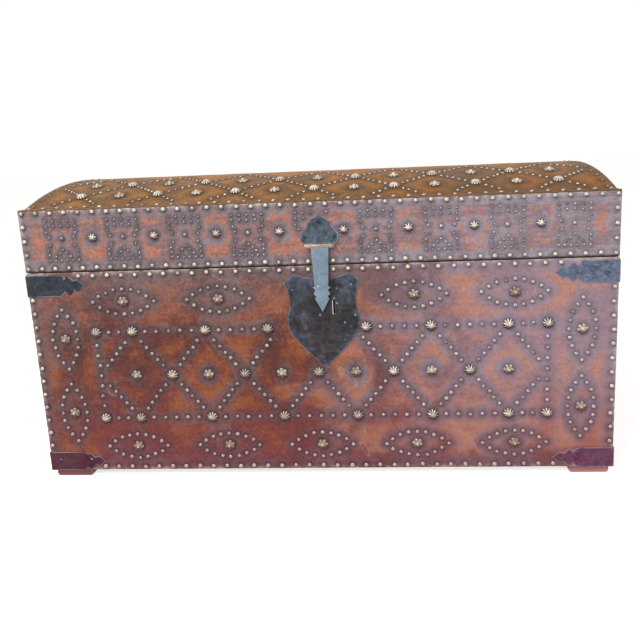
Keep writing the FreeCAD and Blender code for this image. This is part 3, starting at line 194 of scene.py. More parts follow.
domeHide = {
    "dark": tone(102, 73, 43), "darkRight": tone(102, 71, 41),
    "warm": tone(154, 100, 45), "warmRight": tone(152, 96, 42), "hueSpan": (0.4, 0.66),
    "stain": tone(98, 72, 42), "stainShare": 0.6, "edgeStain": 0.8,
    "worn": tone(140, 116, 92), "wornShare": 0.2,
    "dirt": tone(112, 88, 84), "dirtAndShadeShare": 0.55,
    "blotch": 9.0, "brush": 0.8, "gloss": 0.15,
}
# what all hides share: textures counted to the metre, turns in radians, spans in metres across or up
hideGrain = {
    "mottlesPerBlotch": 5, "grain": 170, "pores": 520, "brush": (13, 13, 95),
    "hatch": (240, 240, 60), "hatchTurn": 0.55, "backTurn": -0.8,
    "crease": (17, 17, 4), "creaseTurn": 0.35, "creaseHalf": 0.004, "creased": 4,
    "scuff": (420, 420, 50), "scuffTurn": 0.6,
    "fade": (-0.14, 0.43), "low": (0.25, 0.05), "upper": (0.27, 0.42),
    "seam": tone(24, 17, 18), "seamRise": 0.0055, "seamDrop": 0.0006,
    "rough": (0.42, 0.64), "bumpDepth": 0.0009, "bumpStrength": 0.7,
}


def leatherFinish(name, look):
    f = Finish(name)
    make = hideGrain
    blotch = f.cloud(look["blotch"], twist=0.8)
    mottle = f.cloud(look["blotch"] * make["mottlesPerBlotch"], detail=5, rough=0.65, twist=0.6)
    grain = f.cloud(make["grain"], detail=5, rough=0.72, twist=0.4)
    hatch = f.cloud(make["hatch"], make["hatchTurn"], detail=3, twist=0.3)
    backHatch = f.cloud(make["hatch"], make["backTurn"], detail=3, twist=0.3)
    brush = f.cloud(make["brush"], detail=5, rough=0.7, twist=0.6)
    # painted sheen: a share that grows to the right and pales and greys the leather there
    fade = f.span(f.weigh((f.part("X"), 1.0), (blotch, 0.6), start=-0.3), *make["fade"])
    hue = f.weigh((blotch, 0.8), (mottle, 0.15), (grain, 0.25), (brush, look["brush"] * 0.25),
                  (f.mark("open"), 0.2), (fade, -0.03), start=-0.17 - look["brush"] / 8)
    dark = f.mix(fade, *leftRight(look, "dark"))
    warm = f.mix(fade, *leftRight(look, "warm"))
    colour = f.mix(f.span(hue, *look["hueSpan"]), dark, warm)
    stainTone = f.mix(fade, *leftRight(look, "stain"))
    if "low" in look:  # redder in blotches towards the floor, darker along the foot
        height = f.weigh((f.part("Z"), 1.0), (mottle, 0.15), start=-0.075)
        lowered = f.span(height, *make["low"], 0.0, look["lowShare"])
        low = f.mix(fade, *leftRight(look, "low"))
        colour = f.mix(f.times(lowered, f.span(blotch, 0.64, 0.4)), colour, low)
        stainTone = f.mix(lowered, stainTone, look["lowStain"])
        height = f.weigh((f.part("Z"), 1.0), (mottle, 0.06), (blotch, 0.12), start=-0.09 - bodyLow.z)
        colour = f.mix(f.span(height, look["footRise"], 0.0, 0.0, look["footShare"]), colour, look["foot"])
    ragged = f.weigh((f.mark("stain"), 0.95), (f.mark("wear"), look["edgeStain"]), (mottle, 1.6),
                     (blotch, 2.4), (grain, 1.0), (brush, look["brush"]), start=-2.45 - look["brush"] / 2)
    stain = f.span(ragged, 0.1, 0.95, 0.0, look["stainShare"])
    colour = f.mix(stain, colour, stainTone)
    if "upper" in look:  # greyed below the seam, less so to the right
        height = f.weigh((f.part("Z"), 1.0), (mottle, 0.12), (blotch, 0.1), start=-0.11)
        upper = f.span(height, *make["upper"], 0.0, look["upperShare"])
        colour = f.mix(f.times(upper, f.weigh((fade, -1.0), start=1.0)), colour, look["upper"])
    crease = f.cloud(make["crease"], make["creaseTurn"], detail=2, rough=0.5, twist=0.7)
    crease = f.span(f.math("ABSOLUTE", f.math("SUBTRACT", crease, 0.5)), make["creaseHalf"], 0.0)
    crease = f.times(crease, f.span(f.cloud(make["creased"], detail=2), 0.5, 0.6))
    scuff = f.span(f.cloud(make["scuff"], make["scuffTurn"], detail=5, rough=0.7), 0.64, 0.74)
    edge = f.times(f.mark("wear"), f.span(mottle, 0.42, 0.58))
    rubbed = f.most(f.times(edge, look["wornShare"]), f.weigh((crease, 0.2), (scuff, 0.3)))
    colour = f.mix(rubbed, colour, look["worn"])
    uneven = f.weigh((grain, 1.4), (hatch, 0.45), (backHatch, 0.45), (mottle, 0.5), (brush, 0.7), start=-0.75)
    # painted sheen: the grain's darkening eases off to the right
    colour = f.mix(f.weigh((fade, -0.45), start=1.0), colour, uneven, "MULTIPLY")  # smoother to the right
    # darker close round each head: dirt, with painted contact shade
    dirt = f.times(f.mark("dirt"), f.weigh((fade, -0.22), start=look["dirtAndShadeShare"]))
    colour = f.mix(dirt, colour, look["dirt"], "MULTIPLY")
    # painted shade: the lid hide's lower edge is darkened almost black along the seam
    lidEdge = f.span(f.part("Z"), lidLow.z + make["seamRise"], lidLow.z)
    seam = f.times(f.span(f.part("Z"), lidLow.z - make["seamDrop"], lidLow.z), lidEdge)
    colour = f.mix(seam, colour, make["seam"])
    rough = f.span(f.weigh((mottle, 1.0), (stain, 0.1)), 0.3, 0.75, *make["rough"])
    height = f.weigh((f.cells(make["pores"]), 0.4), (grain, 1.1), (hatch, 0.5), (backHatch, 0.5),
                     (mottle, 1.0), (crease, -0.8))
    normal = f.bump(height, make["bumpDepth"], make["bumpStrength"])
    return f.done(colour=colour, rough=rough, normal=normal, gloss=look["gloss"])


# brass heads: pale where rubbed, brown in the hollows, with painted shade round the rim and below
nailBrass = {
    "bright": tone(150, 134, 128), "brightRight": tone(174, 161, 157), "dull": tone(108, 91, 87),
    "rubbed": tone(192, 180, 162), "deep": tone(60, 47, 45), "low": tone(164, 127, 125),
    "under": tone(84, 60, 58), "underShadeSpan": (0.15, 0.85), "boss": tone(206, 176, 160),
}
studBrass = {
    "bright": tone(178, 168, 152), "brightRight": tone(200, 190, 177), "dull": tone(136, 120, 108),
    "rubbed": tone(196, 188, 170), "deep": tone(36, 28, 27), "low": tone(160, 134, 114),
    "under": tone(96, 42, 32), "underShadeSpan": (-0.1, 0.55), "boss": tone(214, 172, 146),
}
brassGrain = {
    "spots": 160, "pits": 900, "across": (-0.4, 0.3), "low": (0.2, 0.03), "lowShare": 0.7,
    "bossShare": 0.8, "underShadeShare": 0.95, "metal": 0.3, "rough": (0.26, 0.55),
    "bumpDepth": 0.00015, "bumpStrength": 0.5,
}


def brassFinish(name, look):
    f = Finish(name)
    make = brassGrain
    spots = f.cloud(make["spots"], rough=0.65)
    age = f.weigh((f.mark("tint"), 0.7), (spots, 1.4), start=-0.7)
    # painted sheen: the heads are paler to the right
    bright = f.mix(f.span(f.part("X"), *make["across"]), *leftRight(look, "bright"))
    colour = f.mix(f.span(age, 0.05, 1.0), bright, look["dull"])
    colour = f.mix(f.span(f.mark("tint"), 0.0, -0.6), colour, look["rubbed"])
    # painted reflection of the red leather: heads near the floor are reddened
    lowered = f.span(f.part("Z"), *make["low"], 0.0, make["lowShare"])
    colour = f.mix(lowered, colour, look["low"])  # redder near the floor
    colour = f.mix(f.span(f.mark("recess"), -0.3, -0.9, 0.0, make["bossShare"]), colour, look["boss"])
    # painted shade and reflection: the lower part of each head is darkened and reddened by how far it lies
    # below the head's middle
    below = f.weigh((f.mark("drop"), 1.0), (spots, 0.3), start=-0.15)
    colour = f.mix(f.span(below, *look["underShadeSpan"], 0.0, make["underShadeShare"]), colour, look["under"])
    # dark in the hollows as patina, and round the rim as painted shade
    hollow = f.span(f.weigh((f.mark("recess"), 1.0), (spots, 0.2), start=-0.1), 0.25, 0.85)
    colour = f.mix(hollow, colour, look["deep"])
    rough = f.span(f.weigh((spots, 1.0), (hollow, 0.3)), 0.3, 0.9, *make["rough"])
    normal = f.bump(f.cloud(make["pits"], detail=2), make["bumpDepth"], make["bumpStrength"])
    return f.done(colour=colour, rough=rough, normal=normal, metal=make["metal"])


# forged iron: blued skin, rust in patches, bright where edges have rubbed
cornerIron = {
    "skin": tone(42, 47, 55), "skinRight": tone(94, 103, 124),
    "low": tone(76, 20, 40), "lowRight": tone(100, 52, 78),
    "rust": tone(44, 42, 46), "edge": tone(150, 150, 156), "uneven": 2.7, "gloss": 0.2,
}
blackIron = {
    "skin": tone(50, 48, 50), "skinRight": tone(62, 62, 68),
    "low": tone(58, 46, 46), "lowRight": tone(64, 54, 56),
    "rust": tone(86, 58, 44), "edge": tone(128, 126, 124), "uneven": 0.9, "gloss": 0.35,
}
strapIron = {
    "skin": tone(112, 130, 146), "low": tone(104, 118, 132), "bar": tone(150, 128, 120),
    "rust": tone(84, 95, 106), "edge": tone(182, 192, 198), "uneven": 1.0, "gloss": 0.4,
}
haspIron = {
    "skin": tone(70, 81, 93), "low": tone(70, 81, 93), "bar": tone(156, 134, 124),
    "rust": tone(44, 52, 54), "edge": tone(150, 160, 172), "uneven": 3.0, "gloss": 0.3,
}
shieldIron = {
    "skin": tone(38, 34, 38), "low": tone(38, 34, 38), "rim": tone(56, 60, 71), "key": tone(200, 200, 202),
    "rust": tone(62, 54, 56), "edge": tone(128, 134, 148), "uneven": 3.0, "gloss": 0.25,
}
ironGrain = {
    "patch": 24, "speck": 230, "hammer": 90, "dents": 75, "chips": 70, "chipped": 31,
    "scratch": (60, 60, 700), "scratchTurn": 0.9, "across": (-0.1, 0.5), "low": (0.2, 0.06),
    "rustShare": 0.6, "edgeShare": 0.75, "darkest": 0.3,
    "barProud": (0.003, 0.0055), "barBelow": (0.0048, 0.0038),
    "metal": 0.15, "rough": (0.34, 0.62), "bumpDepth": 0.0009, "bumpStrength": 0.7,
}


def ironFinish(name, look):
    f = Finish(name)
    make = ironGrain
    patch = f.cloud(make["patch"], detail=6, rough=0.68, twist=0.6)
    speck = f.cloud(make["speck"], rough=0.7)
    # painted sheen: the right-end tones are paler and bluer
    sheenToRight = f.span(f.part("X"), *make["across"])
    skin = f.mix(sheenToRight, *leftRight(look, "skin"))
    low = f.mix(sheenToRight, *leftRight(look, "low"))
    colour = f.mix(f.span(f.part("Z"), *make["low"]), skin, low)
    rust = f.span(f.weigh((patch, 0.7), (speck, 0.3)), 0.47, 0.62)
    colour = f.mix(f.times(rust, make["rustShare"]), colour, look["rust"])
    if "rim" in look:  # painted sheen: the shield is greyer and bluer towards its outline
        across = f.math("DIVIDE", f.math("SUBTRACT", f.part("X"), lockX), shieldHalf.x)
        up = f.math("DIVIDE", f.math("SUBTRACT", f.part("Z"), shieldMiddle.z), shieldHalf.z)
        out = f.weigh((f.times(across, across), 1.0), (f.times(up, up), 0.8), (patch, 3.2), start=-1.6)
        colour = f.mix(f.span(out, 0.3, 1.0), colour, look["rim"])
    if "bar" in look:  # the knuckles stand proud and are rubbed to bronze
        proud = f.span(f.part("Y"), *(-halfDepth - rise for rise in make["barProud"]))
        above = f.span(f.part("Z"), *(haspAxis - drop for drop in make["barBelow"]))
        colour = f.mix(f.times(proud, above), colour, look["bar"])
    hammered = f.cloud(make["hammer"], rough=0.65, twist=0.5)
    uneven = f.weigh((hammered, look["uneven"]), (patch, look["uneven"]), (speck, 0.6),
                     start=0.7 - look["uneven"])
    colour = f.mix(1.0, colour, f.most(uneven, make["darkest"]), "MULTIPLY")
    scratch = f.span(f.cloud(make["scratch"], make["scratchTurn"], rough=0.7), 0.68, 0.76, 0.0, 0.6)
    chip = f.times(f.span(f.cells(make["chips"]), 0.2, 0.1),
                   f.span(f.cloud(make["chipped"], detail=2), 0.52, 0.6))
    bright = f.most(f.times(f.mark("edge"), f.span(patch, 0.36, 0.56)), scratch, chip)
    colour = f.mix(f.times(bright, make["edgeShare"]), colour, look["edge"])
    if "key" in look:  # painted highlight: one side of the keyhole's slit is painted bright where it would catch the light
        colour = f.mix(f.span(f.mark("edge"), 1.0, 2.0), colour, look["key"])
    rough = f.span(f.weigh((speck, 1.0), (rust, 0.8)), 0.3, 1.3, *make["rough"])
    height = f.weigh((speck, 0.4), (f.cells(make["dents"], "SMOOTH_F1"), 1.0), (patch, 1.0), (hammered, 0.6))
    normal = f.bump(height, make["bumpDepth"], make["bumpStrength"])
    return f.done(colour=colour, rough=rough, normal=normal, metal=make["metal"], gloss=look["gloss"])


# wood: long streaks along the grain with darker pores, paler along rubbed edges
chestWood = {"light": tone(150, 112, 74), "dark": tone(98, 66, 40), "edge": tone(172, 134, 94)}
footWood = {
    "light": tone(128, 60, 60), "lightRight": tone(196, 132, 132),
    "dark": tone(92, 36, 42), "darkRight": tone(150, 94, 96), "edge": tone(164, 104, 100),
}
woodGrain = {
    "streak": 34, "streakAlong": 2.2, "pore": 420, "poreAlong": 14, "poreShare": 0.6, "edgeShare": 0.6,
    "across": (-0.3, 0.5), "rough": (0.5, 0.72), "bumpDepth": 0.0005, "bumpStrength": 0.6,
}


def woodFinish(name, look, along):
    f = Finish(name)
    make = woodGrain
    streaks, pores = ([make[key + "Along" if axis == along else key] for axis in "XYZ"]
                      for key in ("streak", "pore"))
    streak = f.cloud(streaks, detail=6, twist=0.7)
    pore = f.cloud(pores)
    # painted sheen: the right-end tones are paler
    sheenToRight = f.span(f.part("X"), *make["across"])
    light = f.mix(sheenToRight, *leftRight(look, "light"))
    dark = f.mix(sheenToRight, *leftRight(look, "dark"))
    colour = f.mix(f.span(streak, 0.36, 0.64), dark, light)
    colour = f.mix(f.span(pore, 0.52, 0.72, 0.0, make["poreShare"]), colour, dark)
    colour = f.mix(f.times(f.mark("edge"), make["edgeShare"]), colour, look["edge"])
    rough = f.span(streak, 0.3, 0.7, *make["rough"])
    normal = f.bump(f.weigh((pore, 0.5), (streak, 1.0)), make["bumpDepth"], make["bumpStrength"])
    return f.done(colour=colour, rough=rough, normal=normal)


finishes = {
    "bodyLeather": leatherFinish("bodyLeather", bodyHide),
    "lidLeather": leatherFinish("lidLeather", lidHide),
    "domeLeather": leatherFinish("domeLeather", domeHide),
    "nailBrass": brassFinish("nailBrass", nailBrass),
    "studBrass": brassFinish("studBrass", studBrass),
    "cornerIron": ironFinish("cornerIron", cornerIron),
    "blackIron": ironFinish("blackIron", blackIron),
    "strapIron": ironFinish("strapIron", strapIron),
    "haspIron": ironFinish("haspIron", haspIron),
    "shieldIron": ironFinish("shieldIron", shieldIron),
    "boardWood": woodFinish("boardWood", chestWood, "X"),
    "endWood": woodFinish("endWood", chestWood, "Y"),
    "footWood": woodFinish("footWood", footWood, "X"),
}
print("finishes made:", len(finishes))


def pieceName(node):
    first, *rest = node.split("_")
    return first + "".join(word.capitalize() for word in rest)


def newMesh(name, bm):
    mesh = bpy.data.meshes.new(name)
    bm.to_mesh(mesh)
    bm.free()
    return mesh


def addPiece(mesh, body, finish, node):
    piece = bpy.data.objects.new(pieceName(node), mesh)
    bpy.context.scene.collection.objects.link(piece)
    mesh.materials.clear()
    mesh.materials.append(finishes[finish])
    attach(piece, body)
    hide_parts(node)
    return piece


def addMarks(mesh, **marks):
    for name, amounts in marks.items():
        layer = mesh.attributes.new(name, "FLOAT", "POINT")
        layer.data.foreach_set("value", np.asarray(amounts, np.float32))


# nails and studs are driven where the frame has them: the shank's tip gives the spot, the crown its width
driven = {
    "shank": 0.008, "near": 2e-5, "above": 2e-4, "digits": 4, "weld": 1e-4,
    "nailWidths": (0.0086, 0.0072, 0.006, 0.0048), "nailRoundness": 0.42,
    "studWidths": (0.022, 0.017), "studRoundness": 0.34,
}
borderWidth, patternWidth = driven["nailWidths"][:2]


def flatFace(origin, outward, across, up):
    origin, outward, across, up = (Vector(v) for v in (origin, outward, across, up))

    def measure(co):
        away = co - np.array(origin)
        return away @ np.array(across), away @ np.array(up), away @ np.array(outward)

    def locate(u, v):
        return origin + across * u + up * v, outward

    return measure, locate


def domeFace():
    def measure(co):
        rise = co[:, 2] - domeCentre
        return co[:, 0], np.arctan2(co[:, 1], rise) * domeRadius, np.hypot(co[:, 1], rise) - domeRadius

    def locate(u, v):
        turn = v / domeRadius
        outward = Vector((0, math.sin(turn), math.cos(turn)))
        return Vector((u, 0, domeCentre)) + outward * domeRadius, outward

    return measure, locate


def topFace():
    overDome = domeFace()[1]

    def locate(u, v):
        if abs(v) <= domeHalf:
            return overDome(u, v)
        return Vector((u, math.copysign(domeFoot + abs(v) - domeHalf, v), ledge)), Vector((0, 0, 1))

    return None, locate


chestFaces = {
    "front": flatFace((0, -halfDepth, 0), (0, -1, 0), (1, 0, 0), (0, 0, 1)),
    "back": flatFace((0, halfDepth, 0), (0, 1, 0), (-1, 0, 0), (0, 0, 1)),
    "left": flatFace((-halfWidth, 0, 0), (-1, 0, 0), (0, -1, 0), (0, 0, 1)),
    "right": flatFace((halfWidth, 0, 0), (1, 0, 0), (0, 1, 0), (0, 0, 1)),
    "ledge": flatFace((0, 0, ledge), (0, 0, 1), (1, 0, 0), (0, 1, 0)),
    "dome": domeFace(),
    "top": topFace(),
}


def plant(points):
    tree = kdtree.KDTree(len(points))
    for i, point in enumerate(points):
        tree.insert((point[0], point[1], 0), i)
    tree.balance()
    return tree


def readSpots(node, face):
    mesh = frame["nodes"][node].data
    co = np.empty(len(mesh.vertices) * 3, np.float32)
    mesh.vertices.foreach_get("co", co)
    co = co.reshape(-1, 3).astype(float)
    u, v, depth = chestFaces[face][0](co)
    if face == "ledge":
        depth = np.where(np.abs(co[:, 1]) > domeFoot, depth, 1.0)

    def pointsAt(height):
        level = np.abs(depth - height) < driven["near"]
        return np.unique(np.round(np.column_stack([u[level], v[level]]), driven["digits"]), axis=0)

    tips = pointsAt(-driven["shank"])
    tree = plant(tips)
    widths = {}
    for kind in ("nail", "stud"):
        for width in driven[kind + "Widths"]:
            for a, b in pointsAt(width * driven[kind + "Roundness"]):
                _, i, gap = tree.find((a, b, 0))
                if i is not None and gap < driven["above"]:
                    widths[i] = width
    return [(float(a), float(b), widths.get(i, patternWidth)) for i, (a, b) in enumerate(tips)]


nailFaces = {
    "front_nails": ["front"], "front_star_studs": ["front"], "front_flower_studs": ["front"],
    "lid_front_nails": ["front"], "lid_front_star_studs": ["front"],
    "lid_top_nails": ["ledge", "dome"], "lid_top_melon_studs": ["dome"], "lid_top_flower_studs": ["dome"],
    "body_side_nails": ["left", "right", "back"], "lid_side_nails": ["left", "right", "back"],
}
spots = {node: {face: readSpots(node, face) for face in faces} for node, faces in nailFaces.items()}
# the top hide runs over dome and ledges, so its heads are counted along that way
for node in ("lid_top_nails", "lid_top_melon_studs", "lid_top_flower_studs"):
    onLedge = [(u, math.copysign(abs(v) - domeFoot + domeHalf, v), width)
               for u, v, width in spots[node].get("ledge", [])]
    spots[node]["top"] = spots[node]["dome"] + onLedge
for node, byFace in spots.items():
    print("spots", node, {face: len(found) for face, found in byFace.items()})


# a hide is a fine grid laid on its face, drawn down at the nails and slack between them
hideLook = {
    "cell": 0.0042, "slack": 0.0005, "ripple": 0.0005, "rippleSize": 22, "rippleLayer": 0.1,
    "stainReach": 0.019, "fineReach": 0.5, "dirtAndShadeReach": 0.007, "openReach": 0.04, "wearReach": 0.007,
    "nearest": 3, "calmEdge": 0.006, "edgeRound": 0.0008, "edgeSteps": 2, "edgeAngle": 50,
}


def closeness(heads):
    tree = plant(heads)

    def near(u, v):
        found = [(gap - heads[i][2] / 2, heads[i][2])
                 for _, i, gap in tree.find_n((u, v, 0), hideLook["nearest"])]
        gap = min((gap for gap, _ in found), default=1.0)
        # a fine nail stains less far than a border nail or a stud
        share = min((gap / min(1.0, max(hideLook["fineReach"], width / borderWidth)) for gap, width in found),
                    default=1.0) / hideLook["stainReach"]
        nearness = 1 - share, 1 - gap / hideLook["dirtAndShadeReach"], gap / hideLook["openReach"]
        return [max(0.0, min(1.0, amount)) for amount in nearness]

    return near


def cutOut(bm, left, low, right, high):
    for point, way in (((left, low, 0), (1, 0, 0)), ((right, high, 0), (1, 0, 0)),
                       ((left, low, 0), (0, 1, 0)), ((right, high, 0), (0, 1, 0))):
        whole = bm.verts[:] + bm.edges[:] + bm.faces[:]
        bmesh.ops.bisect_plane(bm, geom=whole, plane_co=point, plane_no=way)
    inside = []
    for face in bm.faces:
        middle = face.calc_center_median()
        if left < middle.x < right and low < middle.y < high:
            inside.append(face)
    bmesh.ops.delete(bm, geom=inside, context="FACES")


def stretchHide(node, body, face, extent, heads, finish, top=None, cuts=()):
    uLow, vLow, uHigh, vHigh = extent
    across = round((uHigh - uLow) / hideLook["cell"])
    up = round((vHigh - vLow) / hideLook["cell"])
    bm = bmesh.new()
    bmesh.ops.create_grid(bm, x_segments=across, y_segments=up, size=0.5)
    for vert in bm.verts:
        u = uLow + (vert.co.x + 0.5) * (uHigh - uLow)
        reach = top(u) if top else vHigh
        vert.co = (u, vLow + (vert.co.y + 0.5) * (reach - vLow), 0)
    for cut in cuts:
        cutOut(bm, *cut)
    near = closeness(heads)
    locate = chestFaces[face][1]
    stain, dirt, free, wear = [], [], [], []
    for vert in bm.verts:
        u, v = vert.co.x, vert.co.y
        border = min(u - uLow, uHigh - u, v - vLow, (top(u) if top else vHigh) - v)
        held, soiledAndShaded, openness = near(u, v)
        stain.append(held)
        dirt.append(soiledAndShaded)
        free.append(openness)
        wear.append(max(0.0, 1 - border / hideLook["wearReach"]))
        ripple = noise.noise(Vector((u, v, hideLook["rippleLayer"])) * hideLook["rippleSize"])
        slack = (1 - held) * (hideLook["slack"] + hideLook["ripple"] * ripple)
        place, outward = locate(u, v)
        vert.co = place + outward * slack * min(1.0, border / hideLook["calmEdge"])
    mesh = newMesh(pieceName(node), bm)
    addMarks(mesh, stain=stain, dirt=dirt, open=free, wear=wear)
    mesh.shade_smooth()
    piece = addPiece(mesh, body, finish, node)
    wall = piece.modifiers.new("thickness", "SOLIDIFY")
    wall.thickness = leatherDepth
    wall.offset = -1
    edge = piece.modifiers.new("turnedEdge", "BEVEL")
    edge.width = hideLook["edgeRound"]
    edge.segments = hideLook["edgeSteps"]
    edge.limit_method = "ANGLE"
    edge.angle_limit = math.radians(hideLook["edgeAngle"])
    wide = uHigh - uLow
    columns = [uLow + (i + 0.5) * wide / across for i in range(across)]
    cut = sum(top(u) - vLow for u in columns) * wide / across if top else None


def headsOn(face, *nodes):
    return [spot for node in nodes for spot in spots[node].get(face, [])]


def archTop(y):
    if abs(y) >= halfChord:
        return railTop
    return domeCentre + math.sqrt(staveRadius**2 - y**2)


# openings in the front hide: the staple's slot, and the eye and throat of the keyhole
lockCuts = {
    "slotHalf": 0.0042, "slotBottom": 0.3788, "slotPast": 0.001,
    "eyeHalf": 0.0035, "throatHalf": 0.0018, "throatDrop": 0.029,
}
slotHalf, eyeHalf, throatHalf = (lockCuts[key] for key in ("slotHalf", "eyeHalf", "throatHalf"))
frontCuts = [
    (lockX - slotHalf, lockCuts["slotBottom"], lockX + slotHalf, bodyHigh.z + lockCuts["slotPast"]),
    (keyX - eyeHalf, keyZ - eyeHalf, keyX + eyeHalf, keyZ + eyeHalf),
    (keyX - throatHalf, keyZ - lockCuts["throatDrop"], keyX + throatHalf, keyZ),
]
frontHeads = headsOn("front", "front_nails", "front_star_studs", "front_flower_studs")
lidHeads = headsOn("front", "lid_front_nails", "lid_front_star_studs")
topHeads = headsOn("top", "lid_top_nails", "lid_top_melon_studs", "lid_top_flower_studs")
woodDepth = halfDepth - leatherDepth
bodyExtent = (-halfWidth, bodyLow.z, halfWidth, bodyHigh.z)
endExtent = (-woodDepth, bodyLow.z, woodDepth, bodyHigh.z)
lidExtent = (-halfWidth, lidLow.z, halfWidth, railTop)
lidEndExtent = (-woodDepth, lidLow.z, woodDepth, crest - leatherDepth)
topExtent = (-halfWidth, -topHalf, halfWidth, topHalf)

stretchHide("front_leather", "chest_body", "front", bodyExtent, frontHeads,
            "bodyLeather", cuts=frontCuts)
stretchHide("back_leather", "chest_body", "back", bodyExtent, headsOn("back", "body_side_nails"),
            "bodyLeather")
stretchHide("lid_front_leather", "lid", "front", lidExtent, lidHeads,
            "lidLeather")
stretchHide("lid_back_leather", "lid", "back", lidExtent, headsOn("back", "lid_side_nails"),
            "lidLeather")
stretchHide("lid_top_leather", "lid", "top", topExtent, topHeads,
            "domeLeather")
for hand in ("left", "right"):
    stretchHide(f"{hand}_end_leather", "chest_body", hand, endExtent, headsOn(hand, "body_side_nails"),
                "bodyLeather")
    stretchHide(f"lid_{hand}_end_leather", "lid", hand, lidEndExtent, headsOn(hand, "lid_side_nails"),
                "lidLeather", top=archTop)
print("hides stretched")


# heads are turned from half a profile, in shares of the half width and of the rise
nailHead = {
    "profile": [(0, 1), (0.58, 0.84), (0.93, 0.36), (1, 0), (0, -0.14)],
    "steps": 10, "rimBelow": 0.2, "rimFrom": 0.7,
    "jitter": 0.0005, "tilt": 5, "sizeSpread": 0.06, "swell": 1.12,
    "rubbed": 1.0, "dullUnder": 0.005, "dull": 0.25, "studDull": 0.3,
}
starHead = {
    "profile": [(0, 1), (0.2, 0.98), (0.48, 0.86), (0.78, 0.58), (0.96, 0.26), (1, 0.05),
                (0.9, -0.06), (0, -0.06)],
    "lobes": 10, "steps": 40, "pull": 0.07, "sink": 0.42, "from": 0.1, "grow": 1.6, "narrow": 0.8,
    "rimBelow": 0.05, "shade": 0.0, "boss": 0.0,
}
smallStarHead = starHead | {"lobes": 8, "steps": 32}
melonHead = starHead | {"lobes": 11, "steps": 44, "sink": 0.4, "from": 0.18}
flowerHead = starHead | {
    "profile": [(0, 1), (0.17, 0.94), (0.27, 0.66), (0.33, 0.3), (0.44, 0.4), (0.64, 0.54),
                (0.86, 0.42), (1, 0.12), (0.92, -0.06), (0, -0.06)],
    "lobes": 6, "steps": 36, "pull": 0.16, "sink": 0.5, "from": 0.33, "narrow": 2.5,
    "shade": 0.46, "boss": 0.25,
}


# presses the lobes in at one point and gives how deep it then lies, or -1 on the boss, and 1 below the rim
# for painted shade there
def pressLobes(vert, look):
    out = math.hypot(vert.co.x, vert.co.y)
    if out < look["boss"]:
        return -1.0
    share = max(0.0, out - look["from"]) / (1 - look["from"])
    wave = 0.5 - 0.5 * math.cos(look["lobes"] * math.atan2(vert.co.y, vert.co.x))
    hollow = wave ** look["narrow"] * min(1.0, share * look["grow"])
    vert.co.x *= 1 - look["pull"] * hollow
    vert.co.y *= 1 - look["pull"] * hollow
    if vert.co.z > 0:
        vert.co.z *= 1 - look["sink"] * hollow
    return max(hollow, look["shade"] if share else 0.0, 1.0 if vert.co.z < look["rimBelow"] else 0.0)


# a plain head's outer ring is marked for painted shade, fully at its edge
def plainRecess(vert, look):
    if vert.co.z < look["rimBelow"]:
        return 1.0
    return max(0.0, math.hypot(vert.co.x, vert.co.y) - look["rimFrom"])


def turnHead(name, look):
    bm = bmesh.new()
    verts = [bm.verts.new((r, 0, z)) for r, z in look["profile"]]
    edges = [bm.edges.new(pair) for pair in zip(verts, verts[1:])]
    bmesh.ops.spin(bm, geom=verts + edges, cent=(0, 0, 0), axis=(0, 0, 1), angle=math.tau,
                   steps=look["steps"], use_merge=True)
    bmesh.ops.remove_doubles(bm, verts=bm.verts[:], dist=driven["weld"])
    bmesh.ops.recalc_face_normals(bm, faces=bm.faces[:])
    recess = [(pressLobes if "lobes" in look else plainRecess)(vert, look) for vert in bm.verts]
    return newMesh(name, bm), recess


# border nails are the palest, then the dome's heads and the lid's studs;
# fine nails and the body's studs are duller
def dullness(width, face, body, rounded):
    if width == borderWidth and face == "front":
        return -nailHead["rubbed"]
    if width < nailHead["dullUnder"]:
        return nailHead["dull"]
    if face in ("dome", "ledge"):
        return -nailHead["rubbed"] / 2
    if rounded:
        return nailHead["studDull"] * (1 if body == "chest_body" else -1)
    return 0.0


def driveHeads(node, body, groups, finish, rounded):
    bm = bmesh.new()
    recess, tint, drop = [], [], []
    for (head, headRecess), face, found in groups:
        locate = chestFaces[face][1]
        for u, v, width in found:
            shift = rng.normal(0, nailHead["jitter"], 2) if not rounded else (0, 0)
            place, outward = locate(u + float(shift[0]), v + float(shift[1]))
            lean = rng.normal(0, math.radians(nailHead["tilt"]), 2) if not rounded else (0, 0)
            grow = float(1 + rng.normal(0, nailHead["sizeSpread"])) if not rounded else 1.0
            if width == patternWidth:
                grow *= nailHead["swell"]
            rise = driven["studRoundness" if width > borderWidth else "nailRoundness"]
            size = Matrix.Diagonal((width / 2 * grow, width / 2 * grow, width * rise * grow, 1))
            turn = outward.to_track_quat("Z", "Y").to_matrix().to_4x4()
            turn = turn @ Matrix.Rotation(float(lean[0]), 4, "X") @ Matrix.Rotation(float(lean[1]), 4, "Y")
            twist = Matrix.Rotation(float(rng.uniform(0, math.tau)), 4, "Z")
            copy = head.copy()
            copy.transform(Matrix.Translation(place) @ turn @ twist @ size)
            bm.from_mesh(copy)
            # how far each point lies below its head's middle, which places the painted shade on the lower
            # part
            drop += [(place.z - vert.co.z) / (width / 2) for vert in copy.vertices]
            bpy.data.meshes.remove(copy)
            recess += headRecess
            tint += [float(rng.uniform(0, 1)) + dullness(width, face, body, rounded)] * len(headRecess)
    mesh = newMesh(pieceName(node), bm)
    addMarks(mesh, recess=recess, tint=tint, drop=drop)
    mesh.shade_smooth()
    piece = addPiece(mesh, body, finish, node)
    if rounded:
        soft = piece.modifiers.new("rounded", "SUBSURF")
        soft.levels = soft.render_levels = 1


